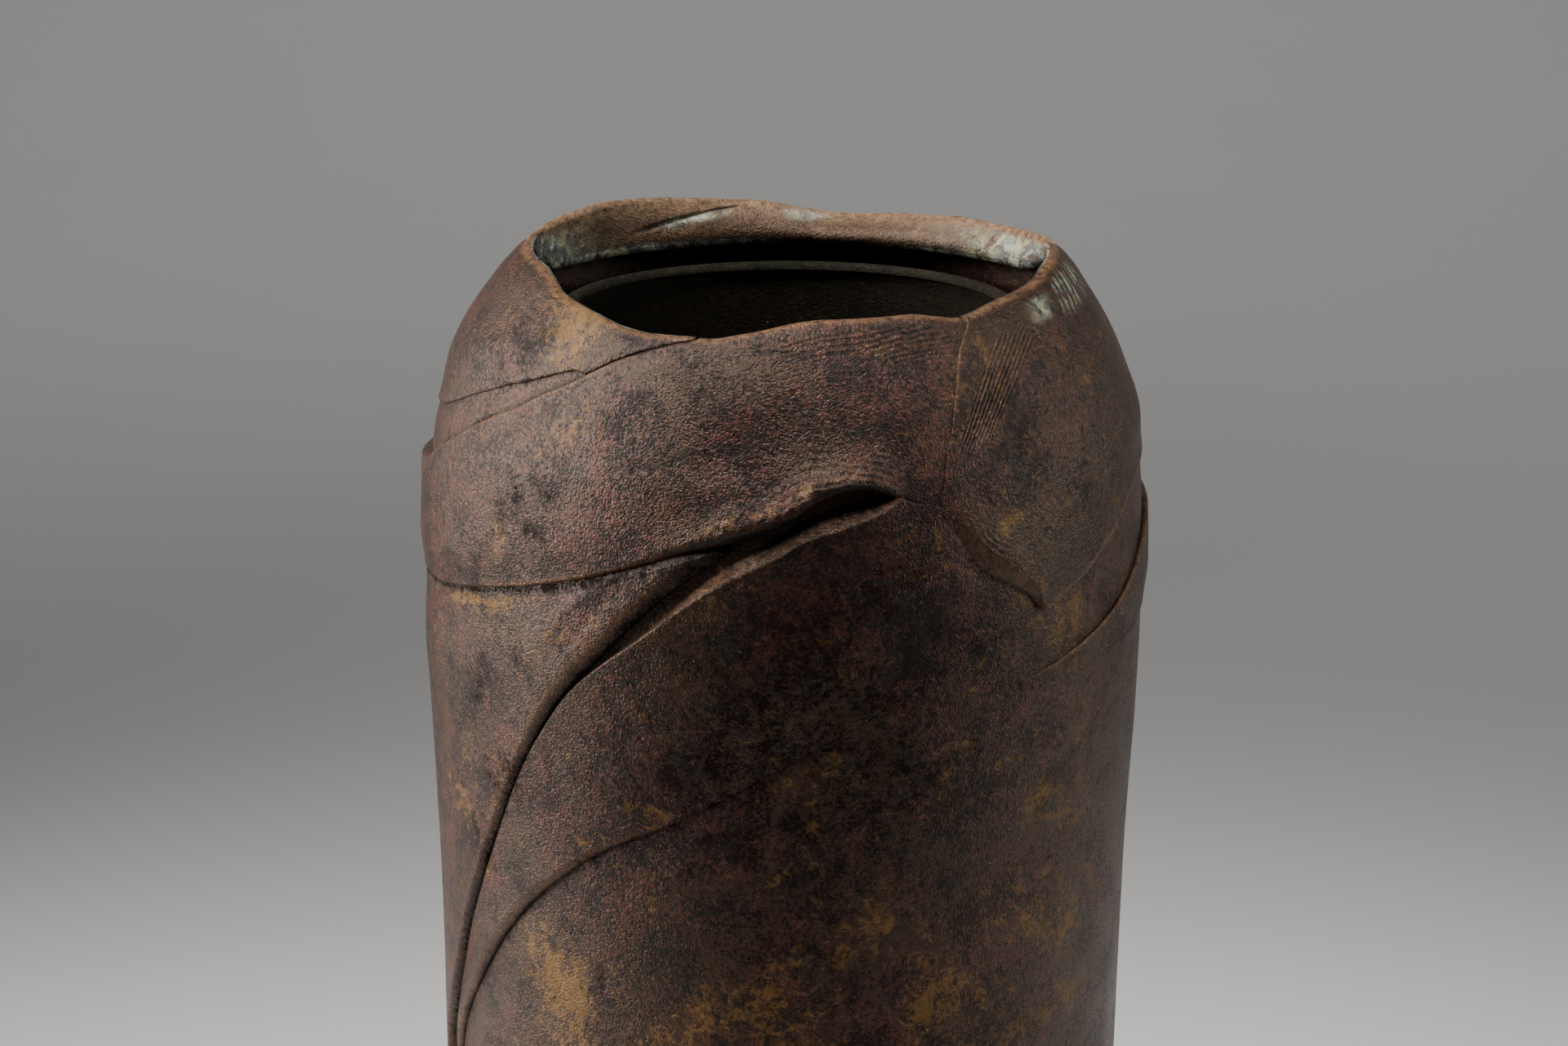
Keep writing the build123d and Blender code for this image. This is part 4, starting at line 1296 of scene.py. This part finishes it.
@dataclass
class Collar:
    """A thick lip turned in over the back of the mouth, which hangs inside it and curls under."""

    name: str
    start: float
    end: float
    pocket: float
    crossing: float
    passes_over: bool
    full_within: float = 21
    cross_within: float = 10
    stand: float = 0.66
    level: float = 1.17
    least_drop: float = 0.6
    drop: float = 6.6
    thickness: float = 1.9
    face_line: Curve = Curve((
        (90, 0.842), (100, 0.826), (115, 0.800), (135, 0.778), (170, 0.764), (200, 0.766),
        (225, 0.778), (245, 0.800), (258, 0.826), (270, 0.842)), FOOT_RADIUS)
    crease_start: float = 194
    crease_slope: float = 0.0178
    steps_down: int = 44
    steps_round: int = 10

    def middle_line(self, angles: Grid, share: Grid) -> tuple[Grid, Grid, Grid]:
        """The line down the middle of the lip's thickness.

        Args:
            angles: wrap angles, as a column.
            share: how far down the lip, from 0 at the crest to 1 at the curled edge, as a row.

        Returns:
            The radius, the height and half the thickness, on a grid.
        """
        full = ease(np.abs(angles - self.pocket), 0, self.full_within)
        cross = 1 - ease(np.abs(angles - self.crossing), 0, self.cross_within)
        half = self.thickness / 2 * (0.35 + 0.65 * full) * (0.86 + 0.24 * share)
        crest = LINES.rim_at(angles) - half
        lowest = SHOULDER_HEIGHT * self.level - self.drop + half
        drop = self.least_drop + (crest - lowest - self.least_drop) * full
        start = LINES.outline(crest / SHOULDER_HEIGHT) + self.stand
        inward = (start - self.face_line(angles) - half) * full
        inward = inward + (0.15 if self.passes_over else -1.1) * cross
        if self.passes_over:
            half = half * (1 - 0.72 * cross)
        return start - inward * np.sin(0.62 * np.pi * share), crest - drop * share, half

    def build(self) -> bpy.types.Object:
        """Makes the lip from closed upright loops.

        Returns:
            The new object.
        """
        angles = ramps((self.start, self.end, 0.4))[:, None]
        share = np.linspace(0, 1, self.steps_down)[None, :]
        radius, height, half = self.middle_line(angles, share)
        run, rise = np.gradient(radius, axis=1), np.gradient(height, axis=1)
        length = np.hypot(run, rise)
        run, rise = run / length, rise / length
        under = self.end_round(radius[:, -1:], height[:, -1:], half[:, -1:], run[:, -1:], rise[:, -1:])
        crest = self.end_round(radius[:, :1], height[:, :1], -half[:, :1], run[:, :1], rise[:, :1])
        inner = (radius + rise * half, height - run * half)
        outer = ((radius - rise * half)[:, ::-1], (height + run * half)[:, ::-1])
        radius, height = (np.concatenate(part, axis=1) for part in zip(inner, under, outer, crest))
        angle = np.broadcast_to(angles, radius.shape)
        down = np.concatenate([np.broadcast_to(share, inner[0].shape), np.ones(under[0].shape),
                               np.broadcast_to(1 + share, inner[0].shape), np.zeros(crest[0].shape)], axis=1)
        loop = spread_points(angle, radius, height)
        outward = level_outward(loop)
        dent = 0.16 * layered(81, loop, 5.0, 3) + 0.55 * self.crease(angle, down)
        loop = loop + outward * (dent * ease(down, 0.0, 0.2) * (1 - ease(down, 0.9, 1.0)))[..., None]
        # The worn crest carries painted sheen on the lip's top, and painted shade lies under the curl and in
        # the crease
        shades = {
            "wear_and_sheen": 0.75 * (1 - ease(down, 0.0, 0.55)) + 0.35 * ease(down, 1.5, 2.0),
            "painted_shade": np.maximum(0.9 * Reach(0.70, 1.0, 1.4, 1.9)(down), 0.8 * self.crease(angle, down)),
            "green": self.green(angle, down),
        }
        return mesh_from_loops(self.name, loop, shades, Finish.LIP)

    def end_round(self, radius: Grid, height: Grid, half: Grid, run: Grid, rise: Grid) -> tuple[Grid, Grid]:
        """The half circle that closes the lip at one end of its middle line.

        Args:
            radius: the middle line's radius at that end, as a column.
            height: its height there.
            half: half the thickness there, below 0 for the crest.
            run: how far the line goes outwards there, as a share of its length.
            rise: how far it goes upwards there.

        Returns:
            The radius and the height of the half circle's points.
        """
        turn = np.linspace(0, np.pi, self.steps_round)[None, 1:-1]
        return (radius + half * (rise * np.cos(turn) + run * np.sin(turn)),
                height + half * (-run * np.cos(turn) + rise * np.sin(turn)))

    def crease(self, angle: Grid, share: Grid) -> Grid:
        """The long slanting crease in the left lip."""
        line = 0.18 + (angle - self.crease_start) * self.crease_slope
        return bell(share, line, 0.055) * Reach(188, 196, 212, 222)(angle)

    def green(self, angle: Grid, share: Grid) -> Grid:
        """Green and white corrosion in the sheltered places."""
        right = bell(angle, 113, 20) * Reach(0.05, 0.3, 0.85, 1.05)(share)
        left = bell(angle, 249, 12) * ease(share, 0.0, 0.3)
        slot_line = 0.24 + (angle - self.crease_start) * self.crease_slope
        slot = 0.8 * bell(share, slot_line, 0.10) * Reach(192, 197, 208, 216)(angle)
        crossing = 0.9 * bell(angle, 176, 5.0) * bell(share, 0.22, 0.14)
        edge = 0.6 * Reach(0.86, 0.98, 1.3, 1.5)(share)
        return np.maximum.reduce([right, left, slot, crossing, edge])


@dataclass
class SeamBead:
    """The gritty upright join between the band and the flap."""

    width: float = 0.50
    rise: float = 0.07
    stand: float = 1.22
    lump_height: float = 0.12
    around: int = 12

    def build(self) -> bpy.types.Object:
        """Makes the bead along the seam, fading towards its foot."""
        angles = ramps((385.2, 387.0, 0.07), (387.0, 391.0, 0.05), (391.0, 394.9, 0.06))
        height = LINES.seam(angles)
        strength = ease(height, 213.0, 224.0) * (1 - 0.8 * ease(height, 228.5, 230.5))
        turn = np.linspace(0, 2 * math.pi, self.around, endpoint=False)
        centre = ground(angles, height) + GAP + self.stand
        side = self.width / 2 * (0.35 + 0.65 * strength)
        swing = np.degrees(side[:, None] * np.cos(turn) / centre[:, None])
        radius = centre[:, None] + (self.rise * strength[:, None] + 0.02) * np.maximum(np.sin(turn), -0.6)
        loop = spread_points(angles[:, None] + swing, radius, np.broadcast_to(height[:, None], swing.shape))
        lumps = layered(91, loop, 0.9, 3)[..., None]
        outward = level_outward(loop)
        loop = loop + outward * lumps * self.lump_height * strength[:, None, None]
        shades = {"wear_and_sheen": np.full(loop.shape[:2], 0.6), "painted_shade": np.zeros(loop.shape[:2]),
                  "green": np.zeros(loop.shape[:2])}
        return mesh_from_loops("seam_bead_grit", loop, shades, Finish.PATINA)


@dataclass
class Vessel:
    """The whole object: the dressed sheets, the lips and the carried-over solids."""

    body: str = "vessel"

    def stand_for(self, piece: bpy.types.Object, node: str) -> None:
        """Puts a dressed piece in the place of its plain solid."""
        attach(piece, self.body)
        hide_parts(node)
        log.info("%s stands for %s with %d faces", piece.name, node, len(piece.data.polygons))

    def build(self) -> None:
        """Builds and dresses every piece."""
        self.stand_for(Trunk().build(), "trunk_wall")
        self.stand_for(FrontSheath().build(), "front_sheath")
        self.stand_for(LeftSheath().build(), "left_sheath")
        self.stand_for(ShoulderBand().build(), "shoulder_band")
        self.stand_for(RightNeck().build(), "right_neck_sheath")
        self.stand_for(LeftNeck().build(), "left_neck_sheath")
        right = Collar("right_collar_lip", start=95, end=180, pocket=95, crossing=180, passes_over=False)
        left = Collar("left_collar_lip", start=170, end=265, pocket=265, crossing=170, passes_over=True)
        self.stand_for(right.build(), "right_collar")
        self.stand_for(left.build(), "left_collar")
        self.stand_for(SeamBead().build(), "seam_bead")
        self.dress("foot_ring", Finish.FOOT)
        self.dress("base_plate", Finish.FOOT)
        self.dress("base_solder", Finish.SOLDER)
        for node in ("liner_tube", "liner_floor", "liner_rim"):
            self.dress(node, Finish.COPPER)

    def dress(self, node: str, finish: Finish) -> None:
        """Gives a carried-over solid its finish."""
        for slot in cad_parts[node].material_slots:
            slot.material = FINISHES[finish]
        log.info("%s is dressed in %s", node, finish.value)


@dataclass(frozen=True)
class Lamp:
    """One soft rectangular light.

    Its place, aim and size are in metres, its power in watts and the spread of its beam in degrees.
    """

    name: str
    place: tuple[float, float, float]
    aim: tuple[float, float, float]
    size: tuple[float, float]
    power: float
    colour: Tone
    spread: float

    def build(self) -> None:
        """Hangs the light and turns it to its aim."""
        data = bpy.data.lights.new(self.name, "AREA")
        data.spread = math.radians(self.spread)
        data.shape = "RECTANGLE"
        data.size, data.size_y = self.size
        data.energy = self.power
        data.color = self.colour
        lamp = bpy.data.objects.new(self.name, data)
        bpy.context.scene.collection.objects.link(lamp)
        lamp.location = self.place
        beam = Vector(self.aim) - Vector(self.place)
        lamp.rotation_euler = beam.to_track_quat("-Z", "Y").to_euler()


LAMPS = (
    Lamp("key_light", place=(-0.56, 0.04, 0.33), aim=(0.0, 0.0, 0.18), size=(0.32, 0.54), power=3.3,
         colour=(1.0, 0.97, 0.94), spread=110),
    Lamp("top_light", place=(-0.17, -0.24, 1.02), aim=(0.0, 0.0, 0.2), size=(0.30, 0.30), power=0.74,
         colour=(0.96, 0.98, 1.0), spread=34),
    Lamp("right_light", place=(0.56, -0.02, 0.34), aim=(0.0, 0.0, 0.18), size=(0.12, 0.50), power=0.58,
         colour=(0.93, 1.0, 0.95), spread=90),
    Lamp("back_light", place=(0.0, 1.0, 1.3), aim=(0.0, 1.6, 0.1), size=(1.8, 0.8), power=7.0,
         colour=(1.0, 1.0, 1.0), spread=150),
)


@dataclass
class Studio:
    """A pale floor that sweeps up behind, soft lights and the camera."""

    lens: float = 100.0
    sensor: float = 36.0
    pitch_deg: float = 14.1
    distance: float = 0.667
    aim_height: float = 0.190
    camera_shift_x: float = -0.0007
    nearest: float = 0.02
    farthest: float = 20.0
    floor_half: float = 2.6
    sweep_start: float = 1.2
    sweep_radius: float = 0.9
    sweep_steps: int = 24
    backdrop_top: float = 3.2
    paper: Tone = (0.62, 0.61, 0.60)
    air: Tone = (0.022, 0.022, 0.023)

    def floor(self) -> None:
        """Makes the floor and its sweep as one sheet."""
        profile = [(-self.floor_half, 0.0), (self.sweep_start, 0.0)]
        for step in range(1, self.sweep_steps + 1):
            turn = math.radians(90 * step / self.sweep_steps)
            profile.append((self.sweep_start + self.sweep_radius * math.sin(turn),
                            self.sweep_radius * (1 - math.cos(turn))))
        profile.append((self.sweep_start + self.sweep_radius, self.backdrop_top))
        vertices, faces = [], []
        for y, z in profile:
            vertices += [(-self.floor_half, y, z), (self.floor_half, y, z)]
        for index in range(len(profile) - 1):
            faces.append((2 * index, 2 * index + 1, 2 * index + 3, 2 * index + 2))
        mesh = bpy.data.meshes.new("studio_floor")
        mesh.from_pydata(vertices, [], faces)
        mesh.polygons.foreach_set("use_smooth", np.ones(len(mesh.polygons), dtype=bool))
        floor = bpy.data.objects.new("studio_floor", mesh)
        bpy.context.scene.collection.objects.link(floor)
        mesh.materials.append(PlainFinish("studio_paper", self.paper).build())

    def camera(self) -> None:
        """Adds the camera at the photograph's viewing angle."""
        data = bpy.data.cameras.new("studio_camera")
        data.lens = self.lens
        data.sensor_width = self.sensor
        data.clip_start, data.clip_end = self.nearest, self.farthest
        camera = bpy.data.objects.new("studio_camera", data)
        bpy.context.scene.collection.objects.link(camera)
        pitch = math.radians(self.pitch_deg)
        height = self.aim_height + self.distance * math.tan(pitch)
        camera.location = (self.camera_shift_x, -self.distance, height)
        camera.rotation_euler = (math.pi / 2 - pitch, 0.0, 0.0)
        bpy.context.scene.camera = camera

    def world(self) -> None:
        """Fills the air with a faint even light."""
        world = bpy.data.worlds.new("studio_air")
        world.use_nodes = True
        world.node_tree.nodes["Background"].inputs[0].default_value = shade(self.air)
        bpy.context.scene.world = world

    def build(self) -> None:
        """Sets the whole studio."""
        self.floor()
        for lamp in LAMPS:
            lamp.build()
        self.world()
        self.camera()


def main() -> None:
    """Builds the finishes, the vessel and the studio, in that order."""
    logging.basicConfig(level=logging.INFO, format="%(message)s")
    make_finishes()
    Vessel().build()
    Studio().build()


if __name__ == "__main__":
    main()
